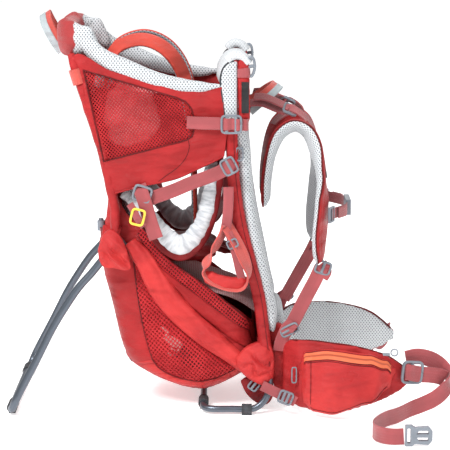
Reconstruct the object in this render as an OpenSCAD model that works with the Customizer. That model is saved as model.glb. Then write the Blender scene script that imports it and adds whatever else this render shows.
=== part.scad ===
// Framed child carrier backpack, standing on its base loop and its folding kickstand.
// +X points to the wearer, +Y to the wearer's left, +Z up.  The origin lies on the floor
// in the carrier's middle plane.  Every left and right pair is drawn once, on the +Y side.

/* [Frame] */
// Diameter of the two main frame tubes
tube_d = 14; // [12:0.5:16]
// Half distance between the main frame tubes
frame_half_w = 125; // [122:1:127]
// Diameter of the base loop's tube
base_d = 12; // [10:0.5:13]
// Half width of the base loop
base_half_w = 140; // [136:1:144]
// Height of a bar's centre line above the floor, on its rubber feet
foot_h = 10; // [9.5:0.1:11]

/* [Kickstand] */
// Diameter of the kickstand's tube
stand_d = 14; // [12:0.5:15]
// Half width of the kickstand at its hinge
stand_top_half_w = 129; // [128.5:0.5:131]
// Half width of the kickstand at the floor
stand_foot_half_w = 157; // [150:1:165]
// Radius of the hinge pins
hinge_pin_r = 4; // [3:0.1:5]
// Running clearance round a hinge pin
hinge_gap = 0.05; // [0.02:0.01:0.1]

/* [Cockpit] */
// Half width inside the side walls
wall_in = 134; // [132:1:136]
// Thickness of a fabric wall with its foam
wall_t = 7; // [4:1:8]
// Half width of the storage bag
bag_half_w = 105; // [95:1:106]
// Thickness of the bag's walls
bag_t = 4; // [3:0.5:6]

/* [Straps] */
// Width of a padded shoulder strap
shoulder_w = 58; // [50:1:62]
// Thickness of a padded shoulder strap
shoulder_t = 12; // [8:1:14]
// Width of the waist strap's webbing
waist_web_w = 29; // [25:1:30]
// Width of the smaller webbing straps
web_w = 20; // [15:1:24]
// Thickness of the webbing
web_t = 2; // [1.2:0.1:2.5]

/* [Hidden] */

red = [0.72, 0.13, 0.15];
web_red = [0.66, 0.28, 0.31];
coral = [0.86, 0.33, 0.28];
orange = [0.93, 0.42, 0.26];
mesh_white = [0.88, 0.90, 0.91];
buckle_grey = [0.42, 0.45, 0.49];
tube_grey = [0.36, 0.39, 0.44];
rubber_grey = [0.30, 0.31, 0.33];
ring_yellow = [0.93, 0.80, 0.30];

tube_r = tube_d / 2;
base_r = base_d / 2;
stand_r = stand_d / 2;
seat_tube_r = 6;
seat_tube_y = 114;
stay_r = 4;
stay_y = 119;
// Hinge of the kickstand, in side view
pivot = [-198, 305];
// Centre line of the main frame tubes, in side view, top to bottom
spine = [[16, 640], [13, 565], [12, 481], [17, 410], [28, 339], [44, 277], [60, 213],
    [70, 140], [75, 90], [76, 58]];
// Centre line of the cockpit's rear edge, in side view, bottom to top
rear_edge = [[-196, 330], [-196, 362], [-199, 389], [-206, 425], [-215, 469], [-225, 504],
    [-236, 539], [-247, 574], [-256, 604], [-264, 630]];
// Centre line of the seat tubes, in side view, hinge to frame
seat_line = [[-192, 305], [-166, 300], [-145, 283], [-125, 243], [-102, 208], [-70, 172],
    [-30, 137], [10, 105], [42, 77], [74, 62]];

// ---------- Sweeps and plates ----------

function unit(v) = v / norm(v);
function tangent(path, i) = let (last = len(path) - 1)
    unit(path[min(i + 1, last)] - path[max(i - 1, 0)]);
// The part of v that is square to the unit vector t
function square_to(v, t) = unit(v - (v * t) * t);
// A side vector at every point of a path, carried along it without twist
function carried(path, side) = [for (i = 0, v = square_to(side, tangent(path, 0));
    i < len(path);
    i = i + 1, v = square_to(v, tangent(path, min(i, len(path) - 1)))) v];
// Points of a smooth curve through the given points, with steps points to each span
function curve(points, steps) = let (last = len(points) - 1) concat(
    [for (i = [0:last - 1], k = [0:steps - 1])
        let (t = k / steps, a = points[max(i - 1, 0)], b = points[i], c = points[i + 1],
            d = points[min(i + 2, last)])
        0.5 * (2 * b + (c - a) * t + (2 * a - 5 * b + 4 * c - d) * t * t
            + (3 * b - a - 3 * c + d) * t * t * t)],
    [points[last]]);
function round_section(r, sides) = [for (k = [0:sides - 1])
    [r * cos(360 * k / sides), r * sin(360 * k / sides)]];
function flat_section(w, t) = [[-w / 2, -t / 2], [w / 2, -t / 2], [w / 2, t / 2], [-w / 2, t / 2]];
// Solid that a section leaves along a path.  side is one vector, or one for each point.
module sweep(path, section, side) {
    n = len(section);
    m = len(path);
    sides = is_list(side[0])
        ? [for (i = [0:m - 1]) square_to(side[i], tangent(path, i))] : carried(path, side);
    points = [for (i = [0:m - 1]) let (s = sides[i], u = cross(tangent(path, i), s))
        for (q = section) path[i] + q[0] * s + q[1] * u];
    walls = [for (i = [0:m - 2], j = [0:n - 1])
        let (a = i * n + j, b = i * n + (j + 1) % n)
        for (f = [[a, a + n, b + n], [a, b + n, b]]) f];
    caps = [[for (j = [0:n - 1]) j], [for (j = [n - 1:-1:0]) (m - 1) * n + j]];
    polyhedron(points, concat(walls, caps), convexity = 6);
}

module rod(path, r, sides = 16) {
    sweep(path, round_section(r, sides), [0.05, 1, 0.02]);
}

// Straight round bar along Y between two side-view points' planes
module bar_y(x, z, half_w, r) {
    translate([x, -half_w, z]) rotate([-90, 0, 0]) cylinder(h = 2 * half_w, r = r, $fn = 48);
}

// Plate with a side-view outline, between two distances from the middle
module side_plate(outline, y0, y1) {
    translate([0, y1, 0]) rotate([90, 0, 0]) linear_extrude(y1 - y0) polygon(outline);
}

// Side-view band that follows a line, from rear to front of it
function band(line, rear, front) = concat(
    [for (p = line) [p[0] + rear, p[1]]],
    [for (i = [len(line) - 1:-1:0]) [line[i][0] + front, line[i][1]]]);
// The points of a line between two heights
function between(line, low, high) = [for (p = line) if (p[1] >= low && p[1] <= high) p];

module on_right() { mirror([0, 1, 0]) children(); }
module both() { children(); mirror([0, 1, 0]) children(); }

// Flat frame with bars for webbing, in the XY plane, centred
module strap_frame(length, width, thick, bar, slots) {
    slot_l = (length - bar * (slots + 1)) / slots;
    linear_extrude(thick, center = true) difference() {
        square([length, width], center = true);
        for (k = [0:slots - 1])
            translate([-length / 2 + bar + k * (slot_l + bar), -width / 2 + bar])
                square([slot_l, width - 2 * bar]);
    }
}

// ---------- Tubes ----------

module frame_tube() {
    path = curve([for (p = spine) [p[0], frame_half_w + (p[1] < 80 ? 4 : 0), p[1]]], 3);
    color(tube_grey) rod(path, tube_r, 20);
}

module crossbars() color(tube_grey) {
    bar_y(16, 612, frame_half_w - 2, 6);
    bar_y(73, 108, frame_half_w - 2, 6);
    bar_y(-186, 303, 114, 5);
}

// U-shaped ground tube: up into the frame tubes, along the floor, across at the rear
module base_loop() {
    w = base_half_w;
    half = [[78, 128, 80], [80, 131, 52], [74, 135, 30], [62, 138, 16], [46, w, foot_h],
        [10, w, foot_h], [-18, w, foot_h], [-33, w - 6, foot_h], [-39, w - 20, foot_h],
        [-39, w - 60, foot_h]];
    mirrored = [for (i = [len(half) - 1:-1:0]) [half[i][0], -half[i][1], half[i][2]]];
    color(tube_grey) rod(curve(concat(half, mirrored), 2), base_r, 20);
}

// Rubber sleeve round a tube along Z, with a flat sole on its -X side
module rubber_foot(length) {
    cylinder(h = length, r = foot_h - 0.6, $fn = 48);
    translate([-foot_h, -6, 0]) cube([foot_h, 12, length]);
}

// Rubber sleeves under the base loop: two at the front, two on the rear bar
module base_feet() color(rubber_grey) both() {
    translate([30, base_half_w, foot_h]) rotate([0, 90, 0]) mirror([1, 0, 0])
        rubber_foot(18);
    translate([-39, base_half_w - 62, foot_h]) rotate([-90, -90, 0]) rubber_foot(30);
}

module seat_tube() {
    line = [for (p = seat_line) [p[0], p[0] > 40 ? 120 : seat_tube_y, p[1]]];
    color(tube_grey) rod(curve(line, 2), seat_tube_r, 14);
}

// Plates that carry the kickstand's hinge pins
module pivot_brackets() color(buckle_grey) both() difference() {
    side_plate([[-214, 292], [-206, 288], [-180, 292], [-172, 304], [-186, 322], [-204, 322],
        [-214, 314]], 112, 119);
    translate([pivot[0], 110, pivot[1]]) rotate([-90, 0, 0])
        cylinder(h = 12, r = hinge_pin_r, $fn = 48);
}

module pivot_pins() color("silver") both() translate([pivot[0], 0, pivot[1]])
    rotate([-90, 0, 0]) {
        translate([0, 0, 112]) cylinder(h = 26, r = hinge_pin_r, $fn = 48);
        translate([0, 0, 137.5]) cylinder(h = 2.5, r = hinge_pin_r + 3, $fn = 48);
    }

// Hoop that holds the cockpit's rear edge and the headrest
module headrest_stay() {
    side = [for (p = rear_edge) [p[0], stay_y, p[1]]];
    last = rear_edge[len(rear_edge) - 1];
    half = concat([[-196, stay_y - 4, 312]], side, [[last[0] - 1, stay_y - 24, last[1] + 2]]);
    mirrored = [for (i = [len(half) - 1:-1:0]) [half[i][0], -half[i][1], half[i][2]]];
    color(tube_grey) rod(curve(concat(half, mirrored), 1), stay_r, 10);
}

// ---------- Kickstand ----------

// U-shaped stand, drawn from one hub down across the floor to the other
module kickstand_tube() {
    t = stand_top_half_w;
    f = stand_foot_half_w;
    half = [[-205, t, 296], [-235, t + 2, 259], [-260, t + 5, 231], [-284, t + 9, 196],
        [-307, t + 13, 158], [-336, f - 8, 101], [-362, f - 3, 52], [-374, f - 1, 28],
        [-380, f - 8, 14], [-383, f - 24, foot_h], [-383, f - 60, foot_h]];
    mirrored = [for (i = [len(half) - 1:-1:0]) [half[i][0], -half[i][1], half[i][2]]];
    color(tube_grey) rod(curve(concat(half, mirrored), 2), stand_r, 20);
}

// Moulded hubs at the tops of the legs, turning on the hinge pins
module kickstand_hubs() color(buckle_grey) both() difference() {
    translate([pivot[0], stand_top_half_w - 7.5, pivot[1]]) rotate([-90, 0, 0])
        cylinder(h = 15, r = 13, $fn = 64);
    translate([pivot[0], stand_top_half_w - 10, pivot[1]]) rotate([-90, 0, 0])
        cylinder(h = 20, r = hinge_pin_r + hinge_gap, $fn = 48);
}

module kickstand_feet() color(rubber_grey) both()
    translate([-383, stand_foot_half_w - 58, foot_h]) rotate([-90, -90, 0]) rubber_foot(34);

// ---------- Cockpit ----------

// Padded head cushion: a U in plan, open to the front, with a rounded top
module headrest() color(mesh_white) intersection() {
    translate([0, 0, 600]) linear_extrude(130) difference() {
        union() {
            translate([-238, -119]) square([46, 238]);
            translate([-238, -61]) square([1, 122]);
            for (s = [-1, 1]) translate([-238, 61 * s]) circle(r = 58, $fn = 64);
            translate([-296, -61]) square([58, 122]);
        }
        translate([-236, -90]) square([60, 180]);
        for (s = [-1, 1]) translate([-236, 64 * s]) circle(r = 26, $fn = 48);
        translate([-262, -64]) square([40, 128]);
    }
    side_plate([[-276, 638], [-258, 641], [-238, 641], [-217, 628], [-197, 622], [-192, 646],
        [-194, 676], [-206, 697], [-224, 715], [-246, 721], [-260, 715], [-282, 697],
        [-292, 676], [-296, 650]], -125, 125);
    translate([-310, 0, 0]) rotate([90, 0, 90]) linear_extrude(130)
        polygon([[-119, 600], [-119, 655], [-112, 684], [-95, 706], [-66, 719], [66, 719],
            [95, 706], [112, 684], [119, 655], [119, 600]]);
}

rim_top = [[-190, 648], [-173, 637], [-140, 622], [-113, 613], [-73, 606], [-27, 599], [-3, 592]];
rim_low = [[-3, 566], [-27, 570], [-73, 577], [-113, 584], [-140, 592], [-173, 607],
    [-190, 617]];

// Rolled air-mesh rim on top of a side wall
module collar() color(mesh_white) side_plate(concat(rim_top, rim_low), 119, 146);

// Fabric side wall of the cockpit, with its leg opening below
module cockpit_wall() color(red) side_plate([[-3, 564.5], [-27, 568.5], [-73, 575.5],
    [-113, 582.5], [-140, 590.5], [-173, 605.5], [-192, 616], [-217, 622], [-247, 634],
    [-266, 640], [-258, 612], [-246, 574], [-232, 530], [-214, 469], [-204, 425],
    [-198, 404], [-182, 407], [-135, 419], [-89, 428], [-52, 445], [-13, 462], [-2, 482]],
    wall_in, wall_in + wall_t);

// Fabric panel behind the child's back
module rear_panel() color(red)
    side_plate(band(between(rear_edge, 329, 605), -3, 3), -110, 110);

// Padded roll over the top crossbar
module chin_pad() color(mesh_white) difference() {
    side_plate([[-8, 582], [-16, 596], [-14, 614], [0, 632], [20, 639], [38, 636], [45, 622],
        [38, 600], [22, 586], [6, 580]], -112, 112);
    bar_y(16, 612, 120, 7);
}

// Storage bag under the child's seat: a wedge, open at its top
bag_outline = [[-214, 284], [-221, 262], [-206, 224], [-193, 151], [-174, 101], [-117, 58],
    [-68, 34], [-40, 30], [0, 44], [40, 68], [56, 98], [50, 150], [38, 205], [24, 246]];
bag_inside = [[-208, 300], [-216, 262], [-202, 226], [-189, 153], [-171, 105], [-115, 63],
    [-67, 39], [-40, 35], [-2, 48], [36, 71], [51, 99], [46, 149], [34, 204], [18, 260]];
module storage_bag() color(red) difference() {
    side_plate(bag_outline, -bag_half_w, bag_half_w);
    side_plate(bag_inside, -bag_half_w + bag_t, bag_half_w - bag_t);
}

// ---------- Back ----------

pad_rear = [for (p = between(spine, 180, 610)) [p[0] + tube_r + 1.5, p[1]]];
pad_front = [[80, 178], [91, 178], [85, 213], [74, 268], [62, 335], [51, 407], [44, 478],
    [37, 511], [30, 562]];

// Air-mesh back pad in front of a frame tube
module back_pad() color(mesh_white) side_plate(concat(pad_rear, pad_front), 45, 130);

module lumbar_pad() color(mesh_white) side_plate([[85, 175], [101, 175], [108, 150],
    [110, 110], [106, 66], [90, 62], [88, 110]], -104, 104);

// Fabric panel stretched between the frame tubes
module back_panel() color(red)
    side_plate(band(between(spine, 130, 570), -2, 2), -frame_half_w + 9, frame_half_w - 9);

// Rail on the back panel that the harness slides on
module harness_rail() color(buckle_grey)
    side_plate(band([[12, 481], [17, 410], [28, 339], [44, 277]], 3, 7), -11, 11);

// ---------- Leg openings, adjusters and handles ----------

module leg_cuff() color(mesh_white) rod(curve([[-182, 124, 388], [-154, 125, 364],
    [-133, 125, 328], [-107, 124, 297], [-80, 124, 288], [-48, 124, 297], [-24, 125, 324],
    [-9, 125, 358], [-6, 124, 396]], 2), 8, 10);

// Upper compression strap across each side wall
strap_y = 147;
module side_straps() color(web_red) both() {
    side_plate([[-66, 518], [-66, 538], [-8, 536], [-8, 516]], strap_y - web_t, strap_y);
    side_plate([[30, 514], [30, 534], [40, 533], [40, 513]], strap_y - web_t, strap_y);
}

// Sliders on the upper straps and on the side-entry straps
module side_adjusters() color(buckle_grey) both() {
    translate([11, strap_y, 525]) rotate([90, 2, 0]) strap_frame(34, 30, 4, 4, 2);
    translate([4, strap_y + 1, 449]) rotate([90, -28, 0]) strap_frame(26, 30, 4, 4, 2);
}

// Side-entry strap from the frame down to its ring, and the tail hanging from the ring
module entry_straps() color(web_red) both() {
    sweep([[-10, strap_y + 1, 441], [-62, strap_y + 1, 421], [-118, strap_y + 1, 399]],
        flat_section(24, web_t), [0.37, 0, 0.93]);
    sweep([[-148, strap_y + 6, 388], [-142, strap_y + 5, 362], [-128, strap_y + 4, 334]],
        flat_section(26, web_t), [0.95, 0, 0.3]);
}

module entry_rings() color(buckle_grey) both()
    translate([-141, strap_y + 1, 405]) rotate([90, -30, 0]) strap_frame(26, 34, 5, 4, 1);

// Yellow pull ring on the near side-entry strap
module pull_ring() color(ring_yellow) on_right()
    translate([-154, strap_y + 9, 362]) rotate([90, 0, 0])
        rotate_extrude($fn = 48) translate([9, 0]) circle(r = 2.5, $fn = 24);

// Webbing hoop from one side of the middle plane to the other
module handle(half, width, side) {
    mirrored = [for (i = [len(half) - 2:-1:0]) [half[i][0], -half[i][1], half[i][2]]];
    sweep(curve(concat(half, mirrored), 2), flat_section(width, 3), side);
}

module front_handle() color(web_red)
    handle([[42, 38, 536], [62, 37, 553], [84, 26, 570], [95, 0, 578]], 20, [0.8, 0, -0.6]);

module rear_handle() color(web_red)
    handle([[-308, 40, 648], [-313, 38, 668], [-320, 24, 691], [-323, 0, 701]], 20,
        [0.9, 0, 0.44]);

// Cord lock on the bag's rear pouch, with its sprung button and the cord through it
lock_at = [-224, -50, 330];
module cord_lock() color(buckle_grey) translate(lock_at) difference() {
    translate([0, 0, -11]) cylinder(h = 18, r = 7, $fn = 40);
    translate([0, 0, -1]) cylinder(h = 10, r = 4.6, $fn = 40);
    translate([0, -10, -5]) rotate([-90, 0, 0]) cylinder(h = 20, r = 1.6, $fn = 24);
}
module cord_lock_button() color(rubber_grey) translate(lock_at) {
    translate([0, 0, 3]) cylinder(h = 8, r = 4.5, $fn = 40);
}
module drawcord() color(red) translate(lock_at)
    rod(curve([[6, -30, -38], [2, -22, -18], [0, -10, -6], [0, 0, -5], [0, 10, -6],
        [2, 22, -18], [6, 30, -38]], 3), 1.2, 8);

// ---------- Wearer's harness ----------

module harness_yoke() color(buckle_grey)
    side_plate([[34, 385], [39, 345], [60, 345], [56, 385]], -37, 37);

shoulder_path = [[70, 45, 366], [74, 48, 415], [84, 54, 462], [102, 62, 496], [128, 70, 512],
    [152, 79, 497], [168, 89, 455], [176, 97, 404], [177, 103, 352], [176, 107, 302],
    [173, 108, 258], [170, 107, 226]];
shoulder_turn = [[0, 1, 0], [0, 1, 0], [0, 1, 0], [-0.05, 1, 0], [-0.12, 1, 0], [-0.25, 0.97, 0],
    [-0.35, 0.93, 0], [-0.4, 0.91, 0], [-0.4, 0.91, 0], [-0.4, 0.91, 0], [-0.4, 0.91, 0],
    [-0.4, 0.91, 0]];
module shoulder_strap() color(red) sweep(curve(shoulder_path, 2),
    flat_section(shoulder_w, shoulder_t), curve(shoulder_turn, 2));

// Webbing from the frame to the tops of the shoulder straps
module load_lifters() color(web_red) both() {
    sweep([[38, 52, 557], [66, 54, 553], [92, 57, 543]], flat_section(web_w, web_t), [0, 1, 0]);
    sweep([[126, 66, 531], [140, 71, 522]], flat_section(web_w, web_t), [0, 1, 0]);
}

module strap_ladder_locks() color(buckle_grey) both() {
    translate([109, 61, 537]) rotate([0, 22, 6]) strap_frame(30, 28, 5, 4, 2);
    translate([169, 107, 209]) rotate([0, 80, 24]) strap_frame(24, 32, 5, 4, 2);
}

// Webbing from the shoulder straps down to the hip belt
module lower_straps() color(web_red) both()
    sweep([[166, 108, 194], [150, 108, 170], [133, 108, 147]], flat_section(25, web_t),
        [-0.3, 0.95, 0]);

// Chest strap between the two shoulder straps, closed
module sternum_webbing() color(web_red) both()
    sweep(curve([[197, 82, 357], [209, 70, 357], [218, 52, 357], [222, 32, 357]], 2),
        flat_section(web_w, web_t), [0, 0, 1]);
module sternum_hardware() color(buckle_grey) {
    both() translate([189, 99, 357]) rotate([90, 0, -66]) strap_frame(24, 28, 4, 3, 2);
    translate([220, -30, 343]) cube([9, 60, 28]);
}

// ---------- Hip belt ----------

fin_inner = [[112, 106], [146, 132], [204, 150], [264, 154], [334, 140]];
fin_outer = [[334, 152], [268, 168], [200, 164], [138, 146], [104, 120]];
fin_side = [[103, 130], [128, 142], [184, 142], [232, 136], [281, 122], [312, 100], [334, 80],
    [330, 60], [300, 38], [257, 20], [209, 4], [163, 1.5], [125, 10], [103, 22]];

// Padded fin of the hip belt: curved in plan, leaf-shaped from the side
module hip_fin() color(red) intersection() {
    linear_extrude(160) polygon(concat(fin_inner, fin_outer));
    side_plate(fin_side, 90, 190);
}

pocket_side = [[134, 92], [140, 120], [184, 129], [254, 122], [284, 112], [300, 98],
    [303, 66], [256, 28], [186, 6], [158, 8]];
module hip_pocket() color(red) on_right() intersection() {
    linear_extrude(160) polygon([[132, 146], [140, 148.5], [200, 165.5], [268, 169.5],
        [304, 161], [302, 168], [270, 186], [220, 193], [170, 187], [140, 165]]);
    side_plate(pocket_side, 120, 200);
}

// Zip slider with its pull tab, on the pocket's top edge
module zip_puller() color("silver") on_right() translate([283, 184, 124]) {
    cube([12, 6, 4], center = true);
    translate([14, 0, 3]) rotate([90, 30, 0]) difference() {
        cylinder(h = 2, r = 7, center = true, $fn = 40);
        cylinder(h = 3, r = 5, center = true, $fn = 40);
    }
}

module waist_ladder_lock() color(buckle_grey) on_right()
    translate([328, 161, 85]) rotate([90, 0, -12]) strap_frame(38, 38, 6, 4.5, 2);

// Waist webbing of the right side: out of its slider, round and down to the floor
module waist_strap_right() color(web_red) on_right() {
    sweep(curve([[349, 157, 79], [368, 152, 75], [384, 146, 69], [393, 141, 58],
        [391, 146, 45], [378, 152, 31], [357, 157, 21], [330, 169, 17], [305, 194, 16],
        [281, 217, 16], [263, 245, 16], [254, 271, 16], [257, 293, 16], [270, 308, 16],
        [286, 313, 16], [302, 314, 17]], 2),
        flat_section(waist_web_w, web_t), [0, 0, 1]);
    sweep(curve([[338, 139, 108], [352, 136, 105], [368, 133, 99], [382, 132, 87],
        [390, 133, 74]], 2), flat_section(waist_web_w, web_t), [0, -0.2, 1]);
}

// Male half of the waist buckle, prongs forward, standing on its edge
module waist_buckle_male() color(buckle_grey) on_right()
    translate([303, 319, 19]) rotate([90, 0, 0]) linear_extrude(9) difference() {
        polygon([[1, -18], [12, -18], [18, -14], [40, -16], [47, -8], [47, 8], [40, 16],
            [18, 14], [12, 18], [1, 18]]);
        polygon([[4.5, -13], [10, -13], [10, 13], [4.5, 13]]);
        polygon([[20, 3], [40, 3], [40, 9], [24, 9]]);
        polygon([[20, -3], [40, -3], [40, -9], [24, -9]]);
    }

// Waist webbing of the left side: down the outside of the fin and back along the floor
module waist_strap_left() color(web_red) sweep(curve([[314, 169, 74], [311, 171, 60],
    [301, 175, 42], [282, 178, 27], [258, 180, 20], [204, 180, 19]], 2),
    flat_section(waist_web_w, web_t), [0, 0, 1]);

// Female half of the waist buckle, open at its mouth
module waist_buckle_female() color(buckle_grey) translate([160, 173, 1])
    difference() {
        cube([43, 13, 38]);
        translate([-1, 3, 4]) cube([34, 7, 30]);
        translate([36, -1, 5]) cube([4, 15, 28]);
    }

// ---------- Child's seat ----------

module seat_cushion() color(red)
    side_plate([[-160, 272], [-150, 268], [-20, 268], [-10, 274], [-10, 286], [-20, 292],
        [-150, 292], [-160, 288]], -90, 90);

module seat_back() color(red)
    side_plate(band(between(rear_edge, 329, 605), 15, 27), -80, 80);

// Padded shoulder straps that hold the child, with the chest clip between them
module child_harness() color(web_red) {
    both() sweep(curve([[-211, 52, 572], [-208, 54, 618], [-190, 55, 650], [-150, 56, 664],
        [-112, 56, 652], [-84, 55, 622], [-68, 54, 580], [-60, 52, 520], [-56, 50, 430],
        [-55, 48, 300]], 2), flat_section(36, 6), [0, 1, 0]);
    translate([-64, -33, 505]) cube([8, 66, 22]);
}

// Foot stirrup: a webbing loop hung on its strap
module stirrup() color(coral) {
    sweep(curve([[8, 148, 322], [20, 148, 282], [22, 148, 246], [12, 148, 236],
        [-20, 148, 250], [-40, 148, 260], [-38, 148, 272], [-18, 148, 298], [-2, 148, 324]], 2),
        flat_section(28, 3), [0, 1, 0]);
    side_plate([[-9, 326], [14, 326], [16, 346], [14, 392], [-2, 392], [-7, 346]],
        147, 147 + web_t);
}

on_right() frame_tube();  // frame_tube_right
frame_tube();  // frame_tube_left
crossbars();
base_loop();
base_feet();
on_right() seat_tube();  // seat_tube_right
seat_tube();  // seat_tube_left
pivot_brackets();
pivot_pins();
headrest_stay();
headrest();
on_right() cockpit_wall();  // cockpit_wall_right
cockpit_wall();  // cockpit_wall_left
rear_panel();
on_right() collar();  // collar_right
collar();  // collar_left
chin_pad();
storage_bag();
on_right() back_pad();  // back_pad_right
back_pad();  // back_pad_left
lumbar_pad();
back_panel();
on_right() leg_cuff();  // leg_cuff_right
leg_cuff();  // leg_cuff_left
side_straps();
side_adjusters();
entry_straps();
entry_rings();
pull_ring();
front_handle();
rear_handle();
harness_rail();
cord_lock();
cord_lock_button();
drawcord();
kickstand_tube();
kickstand_hubs();
kickstand_feet();
harness_yoke();
on_right() shoulder_strap();  // shoulder_strap_right
shoulder_strap();  // shoulder_strap_left
load_lifters();
strap_ladder_locks();
lower_straps();
sternum_webbing();
sternum_hardware();
on_right() hip_fin();  // hip_fin_right
hip_pocket();
waist_ladder_lock();
waist_strap_right();
waist_buckle_male();
zip_puller();
hip_fin();  // hip_fin_left
waist_strap_left();
waist_buckle_female();
seat_cushion();
seat_back();
child_harness();
on_right() stirrup();  // stirrup_right
stirrup();  // stirrup_left
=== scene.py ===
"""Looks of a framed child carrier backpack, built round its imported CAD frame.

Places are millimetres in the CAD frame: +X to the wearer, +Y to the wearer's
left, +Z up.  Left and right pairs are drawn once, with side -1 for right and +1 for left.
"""
import math
import bmesh
import bpy
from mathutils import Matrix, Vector, noise


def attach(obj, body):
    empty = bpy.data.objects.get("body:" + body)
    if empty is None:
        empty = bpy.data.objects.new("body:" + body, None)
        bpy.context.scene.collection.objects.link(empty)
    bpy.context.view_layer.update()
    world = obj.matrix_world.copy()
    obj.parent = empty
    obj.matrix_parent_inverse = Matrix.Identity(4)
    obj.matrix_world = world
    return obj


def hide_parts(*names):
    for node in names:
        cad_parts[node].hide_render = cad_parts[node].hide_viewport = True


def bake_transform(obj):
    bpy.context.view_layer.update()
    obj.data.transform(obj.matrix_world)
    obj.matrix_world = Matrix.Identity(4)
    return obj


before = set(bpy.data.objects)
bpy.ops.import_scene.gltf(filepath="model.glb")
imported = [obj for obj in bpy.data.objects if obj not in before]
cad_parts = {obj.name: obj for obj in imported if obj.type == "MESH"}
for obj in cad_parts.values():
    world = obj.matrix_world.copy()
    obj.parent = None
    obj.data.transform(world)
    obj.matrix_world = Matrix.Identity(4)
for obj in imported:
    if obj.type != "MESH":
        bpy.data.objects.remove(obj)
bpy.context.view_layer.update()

MM = 0.001
SIDES = ((-1, "right"), (1, "left"))
X_AXIS = Vector((1, 0, 0))
Y_AXIS = Vector((0, 1, 0))
Z_AXIS = Vector((0, 0, 1))
CLOTH_THICK = 2.4 * MM    # coated cloth with its seams
LINING_THICK = 2 * MM     # inner cloth and back panel
PATCH_THICK = 1.4 * MM    # wrinkled patches and flaps
LIGHT_THICK = 1.2 * MM    # single light cloth
YOKE_THICK = 9 * MM
ROUND = 180               # sharp angle, in degrees, that keeps every fold smooth
FLAT_WEB = 75             # the same for webbing, whose edges stay sharp


# ---------- Lines, sweeps and meshes ----------

def mm(points, side=1):
    """Points in millimetres as vectors in metres, mirrored for side -1."""
    return [Vector((p[0], p[1] * side, p[2])) * MM for p in points]


def spline(points, steps):
    """Smooth curve through the points, with steps spans between neighbours."""
    points = [Vector(p) for p in points]
    last = len(points) - 1
    made = []
    for i in range(last):
        a, b = points[max(i - 1, 0)], points[i]
        c, d = points[i + 1], points[min(i + 2, last)]
        for k in range(steps):
            t = k / steps
            made.append(0.5 * (2 * b + (c - a) * t + (2 * a - 5 * b + 4 * c - d) * t * t
                               + (3 * b - a - 3 * c + d) * t ** 3))
    made.append(points[last])
    return made


def running(points):
    """Distance along a line at each of its points."""
    total = [0.0]
    for a, b in zip(points, points[1:]):
        total.append(total[-1] + (b - a).length)
    return total


def spaced(points, count):
    """count points at equal distances along a line."""
    at = running(points)
    made, i = [], 0
    for k in range(count):
        want = at[-1] * k / (count - 1)
        while i < len(points) - 2 and at[i + 1] < want:
            i += 1
        span = (at[i + 1] - at[i]) or 1.0
        made.append(points[i].lerp(points[i + 1], (want - at[i]) / span))
    return made


def smooth_line(points, count):
    """count evenly spaced points on the smooth curve through the points."""
    return spaced(spline(points, 12), count)


def side_spline(line, steps):
    """Smooth curve through side-view points, with x and z kept as the first two numbers."""
    return spline([(x, z, 0) for x, z in line], steps)


def outline_ring(outline, steps):
    """Closed smooth outline in the side view, in millimetres at y = 0."""
    return spline([(x, 0, z) for x, z in outline + outline[:1]], steps)[:-1]


def side_line(line, y, count, side=1):
    """Side-view points at one distance from the middle, as a smooth line."""
    return smooth_line(mm([(x, y, z) for x, z in line], side), count)


def hoop(half, steps=6):
    """A half path and its mirror image as one smooth line; a point at y = 0 is shared."""
    return spline(mm(half + [(x, -y, z) for x, y, z in reversed(half) if y]), steps)


def value_at(table, x):
    """Smooth interpolation in a table of (x, value) pairs with rising x."""
    if x <= table[0][0]:
        return table[0][1]
    for (x0, v0), (x1, v1) in zip(table, table[1:]):
        if x <= x1:
            t = (x - x0) / (x1 - x0)
            return v0 + (v1 - v0) * t * t * (3 - 2 * t)
    return table[-1][1]


def sweep(path, section, side):
    """Rows of points that a section leaves along a path.

    The section is a list of (across, out) pairs, or a function from the share of the path
    to such a list.  side is the section's across direction, or a list of them.
    """
    last = len(path) - 1
    rows = []
    for i, point in enumerate(path):
        along = (path[min(i + 1, last)] - path[max(i - 1, 0)]).normalized()
        given = side[i] if isinstance(side, list) else side
        across = (given - given.dot(along) * along).normalized()
        out = along.cross(across)
        shape = section(i / last) if callable(section) else section
        rows.append([point + across * a + out * b for a, b in shape])
    return rows


def oval(half_a, half_b, count=24, power=2.0):
    """Superellipse section: power 2 is an ellipse, and more is squarer."""
    made = []
    for k in range(count):
        angle = 2 * math.pi * k / count
        c, s = math.cos(angle), math.sin(angle)
        made.append((half_a * math.copysign(abs(c) ** (2 / power), c),
                     half_b * math.copysign(abs(s) ** (2 / power), s)))
    return made


def rippled(points, depth, spread, along, seed):
    """A section with its points moved in and out by noise; along is the place on the path."""
    made = []
    for k, (a, b) in enumerate(points):
        ripple = 1 + depth * noise.noise(Vector((k / spread, along, seed)))
        made.append((a * ripple, b * ripple))
    return made


def web_section(width, thick):
    """Webbing: flat, with slightly thicker rounded selvedges."""
    w, t = width / 2, thick / 2
    edge = 0.0016
    upper = [(-w, 0), (-w + 0.0003, t * 0.8), (-w + edge, t * 1.15), (-w + 2.2 * edge, t * 0.9),
             (0, t * 0.95), (w - 2.2 * edge, t * 0.9), (w - edge, t * 1.15), (w - 0.0003, t * 0.8)]
    return upper + [(-a, -b) for a, b in upper]


def finish_mesh(mesh, sharp=50):
    """Outward normals, and smooth shading with sharp folds kept."""
    shape = bmesh.new()
    shape.from_mesh(mesh)
    bmesh.ops.recalc_face_normals(shape, faces=shape.faces)
    shape.to_mesh(mesh)
    shape.free()
    mesh.polygons.foreach_set("use_smooth", [True] * len(mesh.polygons))
    mesh.set_sharp_from_angle(angle=math.radians(sharp))


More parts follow.
